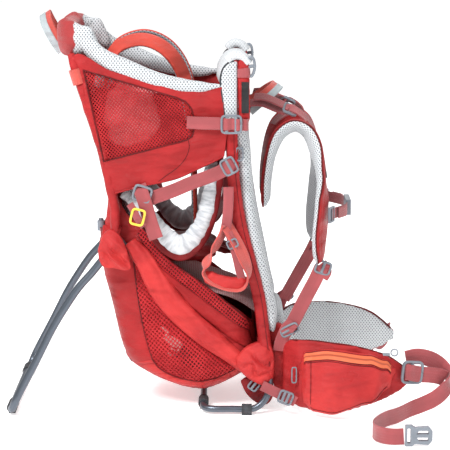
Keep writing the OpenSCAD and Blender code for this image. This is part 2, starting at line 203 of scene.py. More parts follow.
def add_piece(name, mesh, looks):
    """A new object for a mesh, with its materials."""
    piece = bpy.data.objects.new(name, mesh)
    bpy.context.scene.collection.objects.link(piece)
    for look in looks:
        mesh.materials.append(look)
    return piece


def grid(name, rows, looks, around=False, capped=False, look_of=None, sharp=50):
    """Mesh of a grid of points, with a UV map in metres.

    around joins each row's end to its start, capped closes both ends, and look_of gives
    the material of the face at (row, column).
    """
    n, m = len(rows), len(rows[0])
    middle = rows[n // 2]
    across = running([middle[j % m] for j in range(m + around)])
    half = across[-1] / 2
    across = [a - half for a in across]
    along = running([row[m // 2] for row in rows])
    faces, uvs, slots = [], [], []
    for i in range(n - 1):
        for j in range(m - 1 + around):
            k = (j + 1) % m
            faces.append((i * m + j, i * m + k, (i + 1) * m + k, (i + 1) * m + j))
            uvs += [(across[j], along[i]), (across[j + 1], along[i]),
                    (across[j + 1], along[i + 1]), (across[j], along[i + 1])]
            slots.append(look_of(i, j) if look_of else 0)
    if capped:
        for start, row in ((0, 0), ((n - 1) * m, n - 1)):
            faces.append(tuple(start + j for j in range(m)))
            uvs += [(across[j], along[row]) for j in range(m)]
            slots.append(look_of(row, 0) if look_of else 0)
    mesh = bpy.data.meshes.new(name)
    mesh.from_pydata([tuple(p) for row in rows for p in row], [], faces)
    layer = mesh.uv_layers.new(name="metres")
    for loop, uv in zip(layer.data, uvs):
        loop.uv = uv
    mesh.polygons.foreach_set("material_index", slots)
    finish_mesh(mesh, sharp)
    return add_piece(name, mesh, looks)


def closed(name, rows, look, sharp=50):
    """Mesh of a row of rings in one material, closed at both ends."""
    return grid(name, rows, [look], around=True, capped=True, sharp=sharp)


def joined(name, pieces):
    """Several meshes made into one object."""
    with bpy.context.temp_override(active_object=pieces[0], selected_editable_objects=pieces):
        bpy.ops.object.join()
    pieces[0].name = name
    pieces[0].data.name = name
    return pieces[0]


def tube(name, path, radius, look, sides=20):
    """Round bar along a path."""
    rows = sweep(path, oval(radius, radius, sides), Vector((0.05, 1, 0.03)))
    return closed(name, rows, look)


def strap(name, path, width, thick, look, side):
    """Webbing along given points; side is its width's direction, or one for each."""
    line = spline(path, 10)
    if isinstance(side, list):
        side = spline(side, 10)
    rows = sweep(line, web_section(width, thick), side)
    return closed(name, rows, look, FLAT_WEB)


def solid(piece, thick, offset=0.0):
    """Gives a sheet its thickness."""
    layer = piece.modifiers.new("thickness", "SOLIDIFY")
    layer.thickness = thick
    layer.offset = offset
    return piece


def softer(piece, levels=1):
    """Adds one or more subdivisions."""
    layer = piece.modifiers.new("subdivision", "SUBSURF")
    layer.levels = layer.render_levels = levels
    return piece


def fit(piece, body, slot, *nodes):
    """Lets a piece ride a body and stand for CAD nodes, which it hides; slot is not used."""
    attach(piece, body)
    if nodes:
        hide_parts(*nodes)
    return piece


def bridge(piece, first, second, start, end, slot, *nodes):
    """Bakes a piece's place into its mesh and hides the CAD nodes that it stands for; first, second,
    start, end and slot are not used.
    """
    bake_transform(piece)
    if nodes:
        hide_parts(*nodes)


def cut_sheet(piece):
    """Reads the size that a sheet of cloth was cut to from its own mesh; the size is not used further.
    """
    area = sum(face.area for face in piece.data.polygons)
    spots = [corner.uv for corner in piece.data.uv_layers["metres"].data]
    width, length = (max(p[k] for p in spots) - min(p[k] for p in spots) for k in (0, 1))
    length = max(length, area / width)
    return piece


# ---------- Materials ----------

def scaled(colour, factor):
    """A colour made darker or lighter."""
    return [c * factor for c in colour]


class Look:
    """Node tree of one material, with short calls for its nodes."""

    def __init__(self, name):
        self.material = bpy.data.materials.new(name)
        self.material.use_nodes = True
        self.tree = self.material.node_tree
        self.shader = self.tree.nodes["Principled BSDF"]

    def put(self, socket, value):
        """Links a socket to another one, or sets its value."""
        if isinstance(value, bpy.types.NodeSocket):
            self.tree.links.new(value, socket)
        elif hasattr(socket.default_value, "__len__") and len(value) == 3 and socket.type == "RGBA":
            socket.default_value = (*value, 1)
        else:
            socket.default_value = value

    def node(self, kind, inputs=None, **settings):
        """A new shader node with its inputs and settings."""
        made = self.tree.nodes.new("ShaderNode" + kind)
        for key, value in settings.items():
            setattr(made, key, value)
        for key, value in (inputs or {}).items():
            self.put(made.inputs[key], value)
        return made

    def math(self, operation, a, b=0.0):
        return self.node("Math", {0: a, 1: b}, operation=operation).outputs[0]

    def between(self, value, low, high):
        """0 at low and 1 at high, smoothly; low may be the greater."""
        made = self.node("MapRange", {"Value": value, "From Min": low, "From Max": high},
                         interpolation_type="SMOOTHSTEP")
        return made.outputs[0]

    def mix(self, share, first, second):
        return self.node("Mix", {0: share, 6: first, 7: second}, data_type="RGBA").outputs[2]

    def noise(self, scale, detail=3.0, place=None, roughness=0.55):
        place = place or self.spot()
        made = self.node("TexNoise", {"Vector": place, "Scale": scale, "Detail": detail,
                                      "Roughness": roughness})
        return made.outputs[0]

    def spot(self):
        """Place in the CAD frame in metres."""
        return self.node("TexCoord").outputs["Object"]

    def cut_spot(self):
        """Place on the cut cloth in metres: across it and along it."""
        return self.node("UVMap", uv_map="metres").outputs[0]

    def split(self, place):
        """The three numbers of a place or direction."""
        return self.node("SeparateXYZ", {0: place}).outputs

    def times(self, place, factors):
        """A place with its three numbers scaled."""
        return self.node("VectorMath", {0: place, 1: factors}, operation="MULTIPLY").outputs[0]

    def flat_place(self, by_uv):
        """Place on the cloth in metres: the UV map, or the plane that the surface faces."""
        if by_uv:
            return self.cut_spot()
        place = self.node("TexCoord")
        spot, facing = self.split(place.outputs["Object"]), self.split(place.outputs["Normal"])
        x, y, z = (self.math("ABSOLUTE", facing[k]) for k in range(3))
        faces_x = self.math("GREATER_THAN", x, self.math("MAXIMUM", y, z))
        faces_z = self.math("GREATER_THAN", z, self.math("MAXIMUM", x, y))
        u = self.node("Mix", {0: faces_x, 2: spot[0], 3: spot[1]}).outputs[0]
        v = self.node("Mix", {0: faces_z, 2: spot[2], 3: spot[1]}).outputs[0]
        return self.node("CombineXYZ", {0: u, 1: v}).outputs[0]

    def dots(self, place, cell, stretch=1.0, turn=45):
        """Distance from the nearest point of a square lattice, in cells."""
        cells = self.times(place, (1 / cell, 1 / (cell * stretch), 0))
        turned = self.node("Mapping", {"Vector": cells, "Rotation": (0, 0, math.radians(turn))})
        made = self.node("TexVoronoi", {"Vector": turned.outputs[0], "Scale": 1.0, "Randomness": 0.0},
                         voronoi_dimensions="2D")
        return made.outputs["Distance"]

    def bump(self, height, depth, strength=1.0, below=None):
        inputs = {"Height": height, "Distance": depth, "Strength": strength}
        if below is not None:
            inputs["Normal"] = below
        return self.node("Bump", inputs).outputs[0]

    def done(self, colour, roughness, normal=None, **more):
        self.put(self.shader.inputs["Base Color"], colour)
        self.put(self.shader.inputs["Roughness"], roughness)
        if normal is not None:
            self.put(self.shader.inputs["Normal"], normal)
        for key, value in more.items():
            self.put(self.shader.inputs[key.replace("_", " ")], value)
        return self.material


def cloth_surface(look, light, dark, by_uv=False, weave=0.0011):
    """Colour, roughness and normal of coated plain weave with fine creases."""
    place = look.flat_place(by_uv)
    slow = look.noise(14.0, 4.0)
    fleck = look.noise(1400.0, 1.0)
    shade = look.mix(look.between(slow, 0.32, 0.68), dark, light)
    colour = look.mix(look.math("MULTIPLY", look.between(fleck, 0.35, 0.75), 0.28), shade, light)
    threads = look.between(look.dots(place, weave, 0.8), 0.15, 0.65)
    woven = look.bump(threads, 0.00035, 0.55)
    creased = look.bump(look.noise(60.0, 5.0), 0.0022, 0.55, woven)
    turned = look.node("Mapping", {"Vector": look.spot(),
                                   "Rotation": (0, math.radians(38), 0), "Scale": (9.0, 9.0, 26.0)})
    folded = look.bump(look.noise(1.0, 2.0, turned.outputs[0], 0.45), 0.026, 0.85, creased)
    return colour, look.between(slow, -0.2, 1.3), folded


def pack_cloth(name, light, dark, by_uv=False, weave=0.0011):
    """Coated plain weave of one colour."""
    look = Look(name)
    return look.done(*cloth_surface(look, light, dark, by_uv, weave),
                     Specular_IOR_Level=0.22, Sheen_Weight=0.06, Sheen_Roughness=0.4, Sheen_Tint=light)


MESH_WHITE = (0.66, 0.685, 0.705)
MESH_HOLE = (0.17, 0.19, 0.21)


def mesh_surface(look, by_uv=False, cloth=MESH_WHITE, hole=MESH_HOLE, cell=0.0040, hole_size=0.27):
    """Colour, roughness and normal of spacer mesh: soft cloth with staggered sunk holes."""
    place = look.flat_place(by_uv)
    reach = look.dots(place, cell, 1.28)
    sunk = look.between(reach, hole_size + 0.09, hole_size - 0.07)
    knit = look.between(look.dots(place, cell / 3.2, 1.2, 20), 0.1, 0.6)
    soft = look.mix(look.between(look.noise(26.0), 0.3, 0.7), scaled(cloth, 0.94), cloth)
    colour = look.mix(sunk, look.mix(look.math("MULTIPLY", knit, 0.12), soft, hole), hole)
    fine = look.bump(knit, 0.0003, 0.4)
    normal = look.bump(look.math("SUBTRACT", 1.0, sunk), 0.0012, 0.7, fine)
    return colour, 0.85, normal


def air_mesh(name, **settings):
    """Spacer mesh of the padded pieces."""
    look = Look(name)
    return look.done(*mesh_surface(look, **settings), Sheen_Weight=0.15)


def headrest_cover(name, light, dark, seam_x, scallop):
    """Air mesh in front of a gathered seam, and pack cloth behind it."""
    look = Look(name)
    spot = look.split(look.spot())
    wave = look.math("MULTIPLY", look.math("PINGPONG", spot[2], 0.011), scallop / 0.011)
    stray = look.math("MULTIPLY", look.noise(45.0), 0.006)
    seam = look.math("ADD", spot[0], look.math("ADD", wave, stray))
    front = look.between(seam, seam_x - 0.0006, seam_x + 0.0006)
    mesh_colour, _, mesh_normal = mesh_surface(look)
    cloth_colour, _, cloth_normal = cloth_surface(look, light, dark)
    ridge = look.math("ABSOLUTE", look.math("SUBTRACT", seam, seam_x))
    both = {0: front, 4: cloth_normal, 5: mesh_normal}
    normal = look.node("Mix", both, data_type="VECTOR").outputs[1]
    colour = look.mix(front, cloth_colour, mesh_colour)
    line = look.between(ridge, 0.0016, 0.0006)
    colour = look.mix(look.math("MULTIPLY", line, 0.6), colour, dark)
    return look.done(colour, 0.7, normal, Sheen_Weight=0.15)


def window_mesh(name, thread, dark, cell, hole_size, by_uv=False):
    """Open netting: real holes between red threads."""
    look = Look(name)
    place = look.flat_place(by_uv)
    reach = look.dots(place, cell, 1.15, 38)
    solid_part = look.between(reach, hole_size - 0.07, hole_size + 0.07)
    colour = look.mix(look.between(look.noise(24.0, 3.0), 0.3, 0.7), dark, thread)
    normal = look.bump(reach, 0.0007, 0.6)
    return look.done(colour, 0.6, normal, Alpha=solid_part, Specular_IOR_Level=0.15)


def webbing(name, light, dark, width):
    """Woven strap: herringbone ribs and paler selvedges."""
    look = Look(name)
    spot = look.split(look.cut_spot())
    across = look.math("ABSOLUTE", spot[0])
    zigzag = look.math("MULTIPLY", look.math("PINGPONG", spot[0], 0.0025), 0.9)
    slant = look.math("ADD", spot[1], zigzag)
    rib = look.math("PINGPONG", slant, 0.0008)
    ribs = look.between(rib, 0.0, 0.0008)
    yarn = look.between(look.math("PINGPONG", spot[0], 0.0006), 0.0, 0.0006)
    weave = look.math("MULTIPLY", ribs, look.math("ADD", 0.55, look.math("MULTIPLY", yarn, 0.45)))
    shade = look.mix(look.between(look.noise(22.0), 0.3, 0.7), dark, light)
    colour = look.mix(look.math("MULTIPLY", weave, 0.35), shade, [min(1, c * 1.35) for c in light])
    edge = look.between(across, width / 2 - 0.0030, width / 2 - 0.0018)
    colour = look.mix(look.math("MULTIPLY", edge, 0.3), colour, dark)
    return look.done(colour, 0.58, look.bump(weave, 0.0006, 0.7), Sheen_Weight=0.35)


def plastic(name, colour, roughness=0.42):
    """Moulded plastic: spark-eroded grain, and edges rubbed paler."""
    look = Look(name)
    grain = look.noise(1900.0, 2.0)
    slow = look.noise(40.0, 3.0)
    worn = look.between(look.node("NewGeometry").outputs["Pointiness"], 0.51, 0.58)
    base = look.mix(look.between(slow, 0.3, 0.7), scaled(colour, 0.88), colour)
    pale = [min(1.0, c * 1.5 + 0.03) for c in colour]
    tone = look.mix(look.math("MULTIPLY", worn, 0.45), base, pale)
    rough = look.math("ADD", roughness - 0.06, look.math("MULTIPLY", slow, 0.14))
    return look.done(tone, rough, look.bump(grain, 0.00012, 0.5))


def anodised(name, colour, by_uv=True):
    """Drawn and anodised tube: fine streaks along it and a few light scuffs."""
    look = Look(name)
    place = look.cut_spot() if by_uv else look.spot()
    streak = look.noise(1.0, 2.0, look.times(place, (900.0, 12.0, 900.0)))
    scuff = look.between(look.noise(130.0, 6.0, roughness=0.75), 0.62, 0.70)
    base = look.mix(look.between(streak, 0.3, 0.7), scaled(colour, 0.86), colour)
    tone = look.mix(look.math("MULTIPLY", scuff, 0.35), base, [min(1, c * 1.7) for c in colour])
    rough = look.math("ADD", 0.27, look.math("MULTIPLY", streak, 0.16))
    return look.done(tone, rough, look.bump(streak, 0.00008, 0.3), Metallic=0.72)


def ribbed_rubber(name, colour=(0.035, 0.037, 0.042)):
    """Dark rubber with fine ribs and a little dust."""
    look = Look(name)
    spot = look.split(look.spot())
    both = look.math("ADD", spot[0], spot[1])
    rib = look.between(look.math("PINGPONG", both, 0.0016), 0.0, 0.0012)
    dust = look.between(look.noise(90.0, 4.0), 0.45, 0.7)
    tone = look.mix(look.math("MULTIPLY", dust, 0.5), colour, scaled(colour, 2.6))
    return look.done(tone, 0.78, look.bump(rib, 0.0006, 0.6))


def lining_with_painted_light(name, dark, pale, middle, reach, ragged=0.6):
    """Dark lining with a pale patch of painted light, standing for light that shows through a net."""
    look = Look(name)
    spot = look.split(look.spot())
    stray = look.math("MULTIPLY", look.math("SUBTRACT", look.noise(22.0, 2.0), 0.5), ragged)
    x = look.math("DIVIDE", look.math("SUBTRACT", spot[0], middle[0]), reach[0])
    z = look.math("DIVIDE", look.math("SUBTRACT", spot[2], middle[1]), reach[1])
    away = look.math("ADD", look.math("MULTIPLY", x, x), look.math("MULTIPLY", z, z))
    # Share of the pale patch round middle, with ragged edges: painted light
    inside = look.between(look.math("ADD", away, stray), 1.15, 0.85)
    colour = look.mix(inside, dark, pale)
    return look.done(colour, 0.8, look.bump(look.noise(300.0), 0.0006, 0.5))


def gathered_cloth_painted_shade(name, light=(0.64, 0.66, 0.68), dark=(0.36, 0.38, 0.41)):
    """Thin pale lining, crinkled where elastic gathers it, with painted shade in the crinkles' low
    parts.
    """
    look = Look(name)
    crease = look.noise(1.0, 3.0, look.times(look.cut_spot(), (30.0, 170.0, 0.0)))
    # Painted shade: the colour darkens where the crinkles' bump is low
    tone = look.mix(look.between(crease, 0.30, 0.62), dark, light)
    fine = look.bump(look.noise(900.0, 1.0), 0.0002, 0.5)
    return look.done(tone, 0.62, look.bump(crease, 0.0028, 0.8, fine), Sheen_Weight=0.3)


def zip_look(name, tape=(0.74, 0.15, 0.055), teeth=(0.62, 0.10, 0.04)):
    """Coil zip on its tape: the coil's teeth run along the middle."""
    look = Look(name)
    spot = look.split(look.cut_spot())
    middle = look.between(look.math("ABSOLUTE", spot[0]), 0.0022, 0.0014)
    tooth = look.between(look.math("PINGPONG", spot[1], 0.0008), 0.0, 0.0008)
    cloth = look.between(look.math("PINGPONG", look.math("ADD", spot[0], spot[1]), 0.0005), 0.0, 0.0005)
    tone = look.mix(middle, look.mix(look.math("MULTIPLY", cloth, 0.2), tape, teeth),
                    look.mix(tooth, scaled(teeth, 0.6), teeth))
    height = look.math("ADD", look.math("MULTIPLY", middle, tooth), look.math("MULTIPLY", cloth, 0.2))
    return look.done(tone, 0.5, look.bump(height, 0.0008, 0.8))


RED = (0.43, 0.020, 0.022)
DEEP_RED = (0.22, 0.008, 0.010)
PINK_RED = (0.40, 0.062, 0.070)
CORAL = (0.62, 0.070, 0.048)

red_cloth = pack_cloth("red_pack_cloth", RED, scaled(RED, 0.75))
red_cloth_uv = pack_cloth("red_pack_cloth_cut", RED, scaled(RED, 0.75), by_uv=True)
dark_cloth = pack_cloth("dark_red_cloth", DEEP_RED, scaled(DEEP_RED, 0.6))
coral_cloth = pack_cloth("coral_cloth", CORAL, scaled(CORAL, 0.72))
white_mesh = air_mesh("white_air_mesh")
roll_mesh = air_mesh("smooth_roll_mesh", hole=(0.52, 0.55, 0.575))
white_mesh_uv = air_mesh("white_air_mesh_cut", by_uv=True)
grey_mesh_uv = air_mesh("grey_air_mesh_cut", by_uv=True, cloth=(0.36, 0.39, 0.42),
                        hole=(0.06, 0.07, 0.08))
grey_mesh = air_mesh("grey_air_mesh", cloth=(0.55, 0.58, 0.60), hole=(0.10, 0.11, 0.13))
red_netting = window_mesh("red_netting", (0.46, 0.024, 0.028), (0.30, 0.012, 0.015), cell=0.0042,
                          hole_size=0.34)
bag_netting = window_mesh("bag_netting", (0.50, 0.026, 0.030), (0.34, 0.012, 0.016), cell=0.0053,
                          hole_size=0.34)
strip_netting = window_mesh("strip_netting", (0.46, 0.024, 0.028), (0.32, 0.012, 0.016),
                            cell=0.0050, hole_size=0.33)
pipe_cloth = pack_cloth("dark_piping", (0.16, 0.008, 0.010), (0.08, 0.004, 0.005))
grey_pipe = pack_cloth("grey_piping", (0.06, 0.065, 0.075), (0.03, 0.032, 0.038))
buckle_plastic = plastic("buckle_plastic", (0.165, 0.185, 0.215))
tube_metal = anodised("anodised_tube", (0.125, 0.145, 0.175))
cad_metal = anodised("anodised_fittings", (0.30, 0.32, 0.35), by_uv=False)
hub_plastic = plastic("hub_plastic", (0.10, 0.112, 0.13), 0.5)
foot_rubber = ribbed_rubber("foot_rubber")
lining = gathered_cloth_painted_shade("gathered_lining")
label_cloth = pack_cloth("blank_label", (0.03, 0.028, 0.03), (0.015, 0.014, 0.015), weave=0.0007)
reflective = pack_cloth("reflective_grey", (0.42, 0.47, 0.49), (0.34, 0.385, 0.40), weave=0.0016)
yellow_plastic = plastic("yellow_plastic", (0.90, 0.62, 0.06), 0.38)
zip_tape = zip_look("orange_zip")
coral_red = pack_cloth("coral_red_cloth", (0.58, 0.040, 0.038), (0.42, 0.022, 0.024))
# Pocket backing: its pale pinkish patch is painted light, seen through both sides of the net pocket
pocket_backing_painted_light = lining_with_painted_light("lining_with_painted_light", (0.085, 0.004, 0.006), (0.80, 0.42, 0.40),
                           (-0.104, 0.180), (0.038, 0.078))
# Bolster lining: its pale pink patch is painted light from the far window, seen through the near one
bolster_painted_light = lining_with_painted_light("bolster_lining", (0.15, 0.008, 0.010), (0.66, 0.24, 0.24),
                              (-0.165, 0.535), (0.045, 0.058), 1.6)
cord_look = webbing("round_drawcord", (0.30, 0.03, 0.03), (0.16, 0.012, 0.012), 0.010)
coral_web = webbing("coral_webbing", (0.66, 0.085, 0.065), (0.48, 0.05, 0.04), 0.026)
grey_mesh_light = air_mesh("pale_grey_mesh", cloth=(0.64, 0.665, 0.68), hole=(0.20, 0.215, 0.23))
# Red net whose pale dots are painted light, brightening a net that sits in shade inside the bag
bag_top_net_painted_light = air_mesh("bag_top_spacer_mesh", by_uv=True, cloth=(0.44, 0.030, 0.034),
                           hole=(0.74, 0.70, 0.70))


def web_look(width, light=PINK_RED):
    """Webbing material for a strap of one width."""
    name = f"webbing_{round(width / MM)}_{round(light[0] * 100)}"
    found = bpy.data.materials.get(name)
    return found or webbing(name, light, scaled(light, 0.72), width)


# ---------- Camera, light and floor ----------

VIEW_ELEVATION = math.radians(11.2)
VIEW_DISTANCE = 3.02
VIEW_HEIGHT = 0.3185
FRAME_PIXELS = 450
FOCAL_PIXELS = 1641
LIGHT_BELOW, LIGHT_ABOVE = 0.22, 0.78   # the studio's own light, from its foot to its top
BACKDROP_LEVEL = 1.02                   # what the camera sees behind the object
FLOOR_GLOW = 0.50
FLOOR_REACH = 12.0


def make_camera():
    """The photo's camera, solved for the object's real size."""
    data = bpy.data.cameras.new("camera")
    data.sensor_width = 36.0
    data.lens = FOCAL_PIXELS / FRAME_PIXELS * data.sensor_width
    camera = bpy.data.objects.new("camera", data)
    back = Vector((0, -math.cos(VIEW_ELEVATION), math.sin(VIEW_ELEVATION)))
    camera.location = Vector((0, 0, VIEW_HEIGHT)) + back * VIEW_DISTANCE
    camera.rotation_euler = (-back).to_track_quat("-Z", "Y").to_euler()
    bpy.context.scene.collection.objects.link(camera)
    bpy.context.scene.camera = camera


def area_light(name, place, target, size, watts):
    """Square lamp at a place, turned to a target."""
    data = bpy.data.lights.new(name, "AREA")
    data.size = size
    data.energy = watts
    lamp = bpy.data.objects.new(name, data)
    lamp.location = place
    lamp.rotation_euler = (Vector(target) - Vector(place)).to_track_quat("-Z", "Y").to_euler()
    bpy.context.scene.collection.objects.link(lamp)


def make_studio():
    """Pale surroundings, three lamps and the floor."""
    world = bpy.data.worlds.new("studio")
    world.use_nodes = True
    tree = world.node_tree
    ray = tree.nodes.new("ShaderNodeLightPath")
    split = tree.nodes.new("ShaderNodeSeparateXYZ")
    height = tree.nodes.new("ShaderNodeMapRange")
    level = tree.nodes.new("ShaderNodeMix")
    for socket, value in (("From Min", 0.0), ("From Max", 1.0),
                          ("To Min", LIGHT_BELOW), ("To Max", LIGHT_ABOVE)):
        height.inputs[socket].default_value = value
    level.inputs[3].default_value = BACKDROP_LEVEL
    tree.links.new(tree.nodes.new("ShaderNodeTexCoord").outputs["Generated"], split.inputs[0])
    tree.links.new(split.outputs[2], height.inputs["Value"])
    tree.links.new(ray.outputs["Is Camera Ray"], level.inputs[0])
    tree.links.new(height.outputs[0], level.inputs[2])
    tree.nodes["Background"].inputs[0].default_value = (1, 1, 1, 1)
    tree.links.new(level.outputs[0], tree.nodes["Background"].inputs[1])
    bpy.context.scene.world = world
    bpy.context.scene.view_settings.view_transform = "Standard"
    middle = (-0.02, 0, 0.35)
    area_light("key", (-1.3, -1.7, 2.5), middle, 0.9, 92)
    area_light("fill", (1.9, -1.8, 1.1), middle, 1.8, 15)
    area_light("rim", (0.3, 2.2, 1.9), middle, 1.6, 22)
    floor_look = Look("studio_floor")
    tone = floor_look.mix(floor_look.noise(3.0), (0.92, 0.92, 0.92), (0.94, 0.94, 0.94))
    floor_look.done(tone, 0.7, Emission_Color=(1, 1, 1), Emission_Strength=FLOOR_GLOW)
    ends = (-FLOOR_REACH, FLOOR_REACH)
    corners = [[Vector((x, y, 0)) for x in ends] for y in ends]
    grid("floor", corners, [floor_look.material])


make_camera()
make_studio()


# ---------- Tubes and fittings ----------

SPINE = [(16, 640), (13, 565), (12, 481), (17, 410), (28, 339), (44, 277), (60, 213), (70, 140),
         (75, 90), (76, 58)]
REAR_EDGE = [(-196, 330), (-196, 362), (-199, 389), (-206, 425), (-215, 469), (-225, 504),
             (-236, 539), (-247, 574), (-256, 604), (-264, 630)]
SEAT_LINE = [(-192, 305), (-166, 300), (-145, 283), (-125, 243), (-102, 208), (-70, 172),
             (-30, 137), (10, 105), (42, 77), (74, 62)]
BASE_HALF = [(78, 128, 80), (80, 131, 52), (74, 135, 30), (62, 138, 16), (46, 140, 10),
             (10, 140, 10), (-18, 140, 10), (-33, 134, 10), (-39, 120, 10), (-39, 80, 10)]
STAND_HALF = [(-205, 129, 296), (-235, 131, 259), (-260, 134, 231), (-284, 138, 196),
              (-307, 142, 158), (-336, 149, 101), (-362, 154, 52), (-374, 156, 28),
              (-380, 149, 14), (-383, 133, 10), (-383, 97, 10)]
FRAME_Y = 125
MAIN_RADIUS, SIDE_RADIUS, STAY_RADIUS = 7 * MM, 6 * MM, 4 * MM


def make_tubes():
    """Main tubes, seat tubes, ground loop, kickstand and headrest stay."""
    for side, name in SIDES:
        line = side_line(SPINE, FRAME_Y, 60, side)
        for point in line:
            point.y += side * 4 * MM * value_at([(0.058, 1), (0.085, 0)], point.z)
        made = tube(f"frame_tube_{name}_drawn", line, MAIN_RADIUS, tube_metal, 24)
        fit(made, "frame", "tube", f"frame_tube_{name}")
        path = smooth_line(mm([(x, 120 if x > 40 else 114, z) for x, z in SEAT_LINE], side), 60)
        made = tube(f"seat_tube_{name}_drawn", path, SIDE_RADIUS, tube_metal, 24)
        fit(made, "frame", "tube", f"seat_tube_{name}")
    fit(tube("base_loop_drawn", hoop(BASE_HALF), SIDE_RADIUS, tube_metal, 28), "frame", "tube",
        "base_loop")
    fit(tube("kickstand_drawn", hoop(STAND_HALF), MAIN_RADIUS, tube_metal, 28), "kickstand", "tube",
        "kickstand_tube")
    half = [(-196, 115, 312)] + [(x, 119, z) for x, z in REAR_EDGE] + [(-265, 95, 632)]
    fit(tube("headrest_stay_drawn", hoop(half, 3), STAY_RADIUS, tube_metal, 16), "frame", "tube",
        "headrest_stay")


def finish_cad(node, look):
    """A CAD node that stays: its own material and slightly rounded edges."""
    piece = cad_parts[node]
    piece.data.materials.clear()
    piece.data.materials.append(look)
    edges = piece.modifiers.new("edges", "BEVEL")
    edges.width = 0.4 * MM
    edges.segments = 2
    edges.limit_method = "ANGLE"
    edges.angle_limit = math.radians(40)
    return piece


make_tubes()
for cad_node, cad_look in (("crossbars", cad_metal), ("pivot_brackets", hub_plastic),
                           ("pivot_pins", cad_metal), ("kickstand_hubs", hub_plastic),
                           ("base_feet", foot_rubber), ("kickstand_feet", foot_rubber),
                           ("harness_rail", buckle_plastic), ("cord_lock", buckle_plastic),
                           ("cord_lock_button", hub_plastic)):
    finish_cad(cad_node, cad_look)


# ---------- Swelling of padded pieces ----------

SWELL_FRAMES = 20
SWELL_CLOTH = {"quality": 4, "mass": 0.2, "tension_stiffness": 12, "compression_stiffness": 12,
               "shear_stiffness": 5, "bending_stiffness": 0.6, "use_pressure": True,
               "uniform_pressure_force": 4}
waiting_pads = []


def pad(name, rows, looks, body, slot, nodes, cap=5.0, voxel=5.0, pick=None):
    """A closed soft piece that swells later.  pick(normal) gives a face's material.

    cap is how far it may swell and voxel its mesh size for that, in millimetres.
    """
    made = grid(name, rows, looks, around=True, capped=True, sharp=ROUND)
    waiting_pads.append((made, cap * MM, voxel * MM, pick))
    fit(made, body, slot, *nodes)
    return made


def swell_pads():
    """Cloth simulation of all pads together, each moving no further than its cap."""
    scene = bpy.context.scene
    starts = {}
    for piece, _, voxel, _ in waiting_pads:
        looks = list(piece.data.materials)
        layer = piece.modifiers.new("remesh", "REMESH")
        layer.mode = "VOXEL"
        layer.voxel_size = voxel
        even = piece.modifiers.new("even", "SMOOTH")
        even.factor = 0.5
        even.iterations = 6
        seen = piece.evaluated_get(bpy.context.evaluated_depsgraph_get())
        mesh = bpy.data.meshes.new_from_object(seen)
        piece.modifiers.clear()
        piece.data = mesh
        mesh.materials.clear()
        for look in looks:
            mesh.materials.append(look)
        starts[piece.name] = [v.co.copy() for v in mesh.vertices]
        cloth = piece.modifiers.new("cloth", "CLOTH").settings
        for key, value in SWELL_CLOTH.items():
            setattr(cloth, key, value)
        cloth.effector_weights.gravity = 0
    for number in range(1, SWELL_FRAMES + 1):
        scene.frame_set(number)
    view = bpy.context.evaluated_depsgraph_get()
    for piece, cap, _, _ in waiting_pads:
        swollen = [v.co.copy() for v in piece.evaluated_get(view).data.vertices]
        piece.modifiers.clear()
        for vertex, start, end in zip(piece.data.vertices, starts[piece.name], swollen):
            move = end - start
            if move.length > cap:
                move *= cap / move.length
            vertex.co = start + move
        piece.data.polygons.foreach_set("use_smooth", [True] * len(piece.data.polygons))
        piece.data.update()
    scene.frame_set(1)
    for piece, _, _, pick in waiting_pads:
        if pick:
            for face in piece.data.polygons:
                face.material_index = pick(face.normal)
        softer(piece)


# ---------- Cockpit ----------

WALL_Y = 139
WINDOW_SNAP = 2.4   # a wall's points this near to the window's edge are moved onto it
WALL_TOP = [(-268, 634), (-255, 646), (-236, 640), (-217, 628), (-199, 618), (-165, 607),
            (-126, 596), (-78, 582), (-42, 582), (-12, 587), (2, 589)]
WALL_LOW = [(-198, 399), (-182, 406), (-135, 418), (-89, 428), (-52, 444), (-14, 461), (-3, 467)]
WALL_REAR = [(-198, 399), (-206, 425), (-215, 469), (-225, 504), (-236, 539), (-247, 574),
             (-258, 604), (-268, 634)]
WALL_FRONT = [(-3, 467), (-1, 482), (2, 508), (7, 543), (9.5, 557), (10, 572), (8, 583), (2, 589)]
WINDOW = [(-244, 618), (-84, 571), (-68, 564), (-58, 552), (-54, 537), (-54, 512), (-57, 503),
          (-66, 497), (-80, 493), (-211, 459)]


def wall_y(x, z):
    """Distance of a cockpit wall from the middle plane, with its bulge and creases."""
    across = min(max((x + 268) / 278, 0), 1)
    up = min(max((z - 400) / 220, 0), 1)
    bulge = 5 * math.sin(math.pi * across) * math.sin(math.pi * up) - 7 * across ** 6
    below = min(max((470 - z) / 60, 0), 1)
    fold = 1.7 * below * math.sin(x / 9.0 + 0.02 * z) * math.sin(math.pi * across)
    spot = Vector((x, 0, z)) / 34
    return WALL_Y + bulge + fold + 1.5 * noise.noise(spot) + 0.7 * noise.noise(spot * 2.7)


def patch(bottom, top, rear, front, columns, rows):
    """Coons patch between four side-view curves: rows of (x, z) points."""
    low, high = (spaced(side_spline(line, 8), columns) for line in (bottom, top))
    back, fore = (spaced(side_spline(line, 8), rows) for line in (rear, front))
    made = []
    for i in range(rows):
        t = i / (rows - 1)
        row = []
        for j in range(columns):
            s = j / (columns - 1)
            ruled = low[j].lerp(high[j], t) + back[i].lerp(fore[i], s)
            corners = low[0].lerp(low[-1], s).lerp(high[0].lerp(high[-1], s), t)
            row.append((ruled - corners)[:2])
        made.append(row)
    return made


def straight(a, b, count):
    """count points from a up to just before b."""
    return [(a[0] + (b[0] - a[0]) * k / count, a[1] + (b[1] - a[1]) * k / count) for k in range(count)]


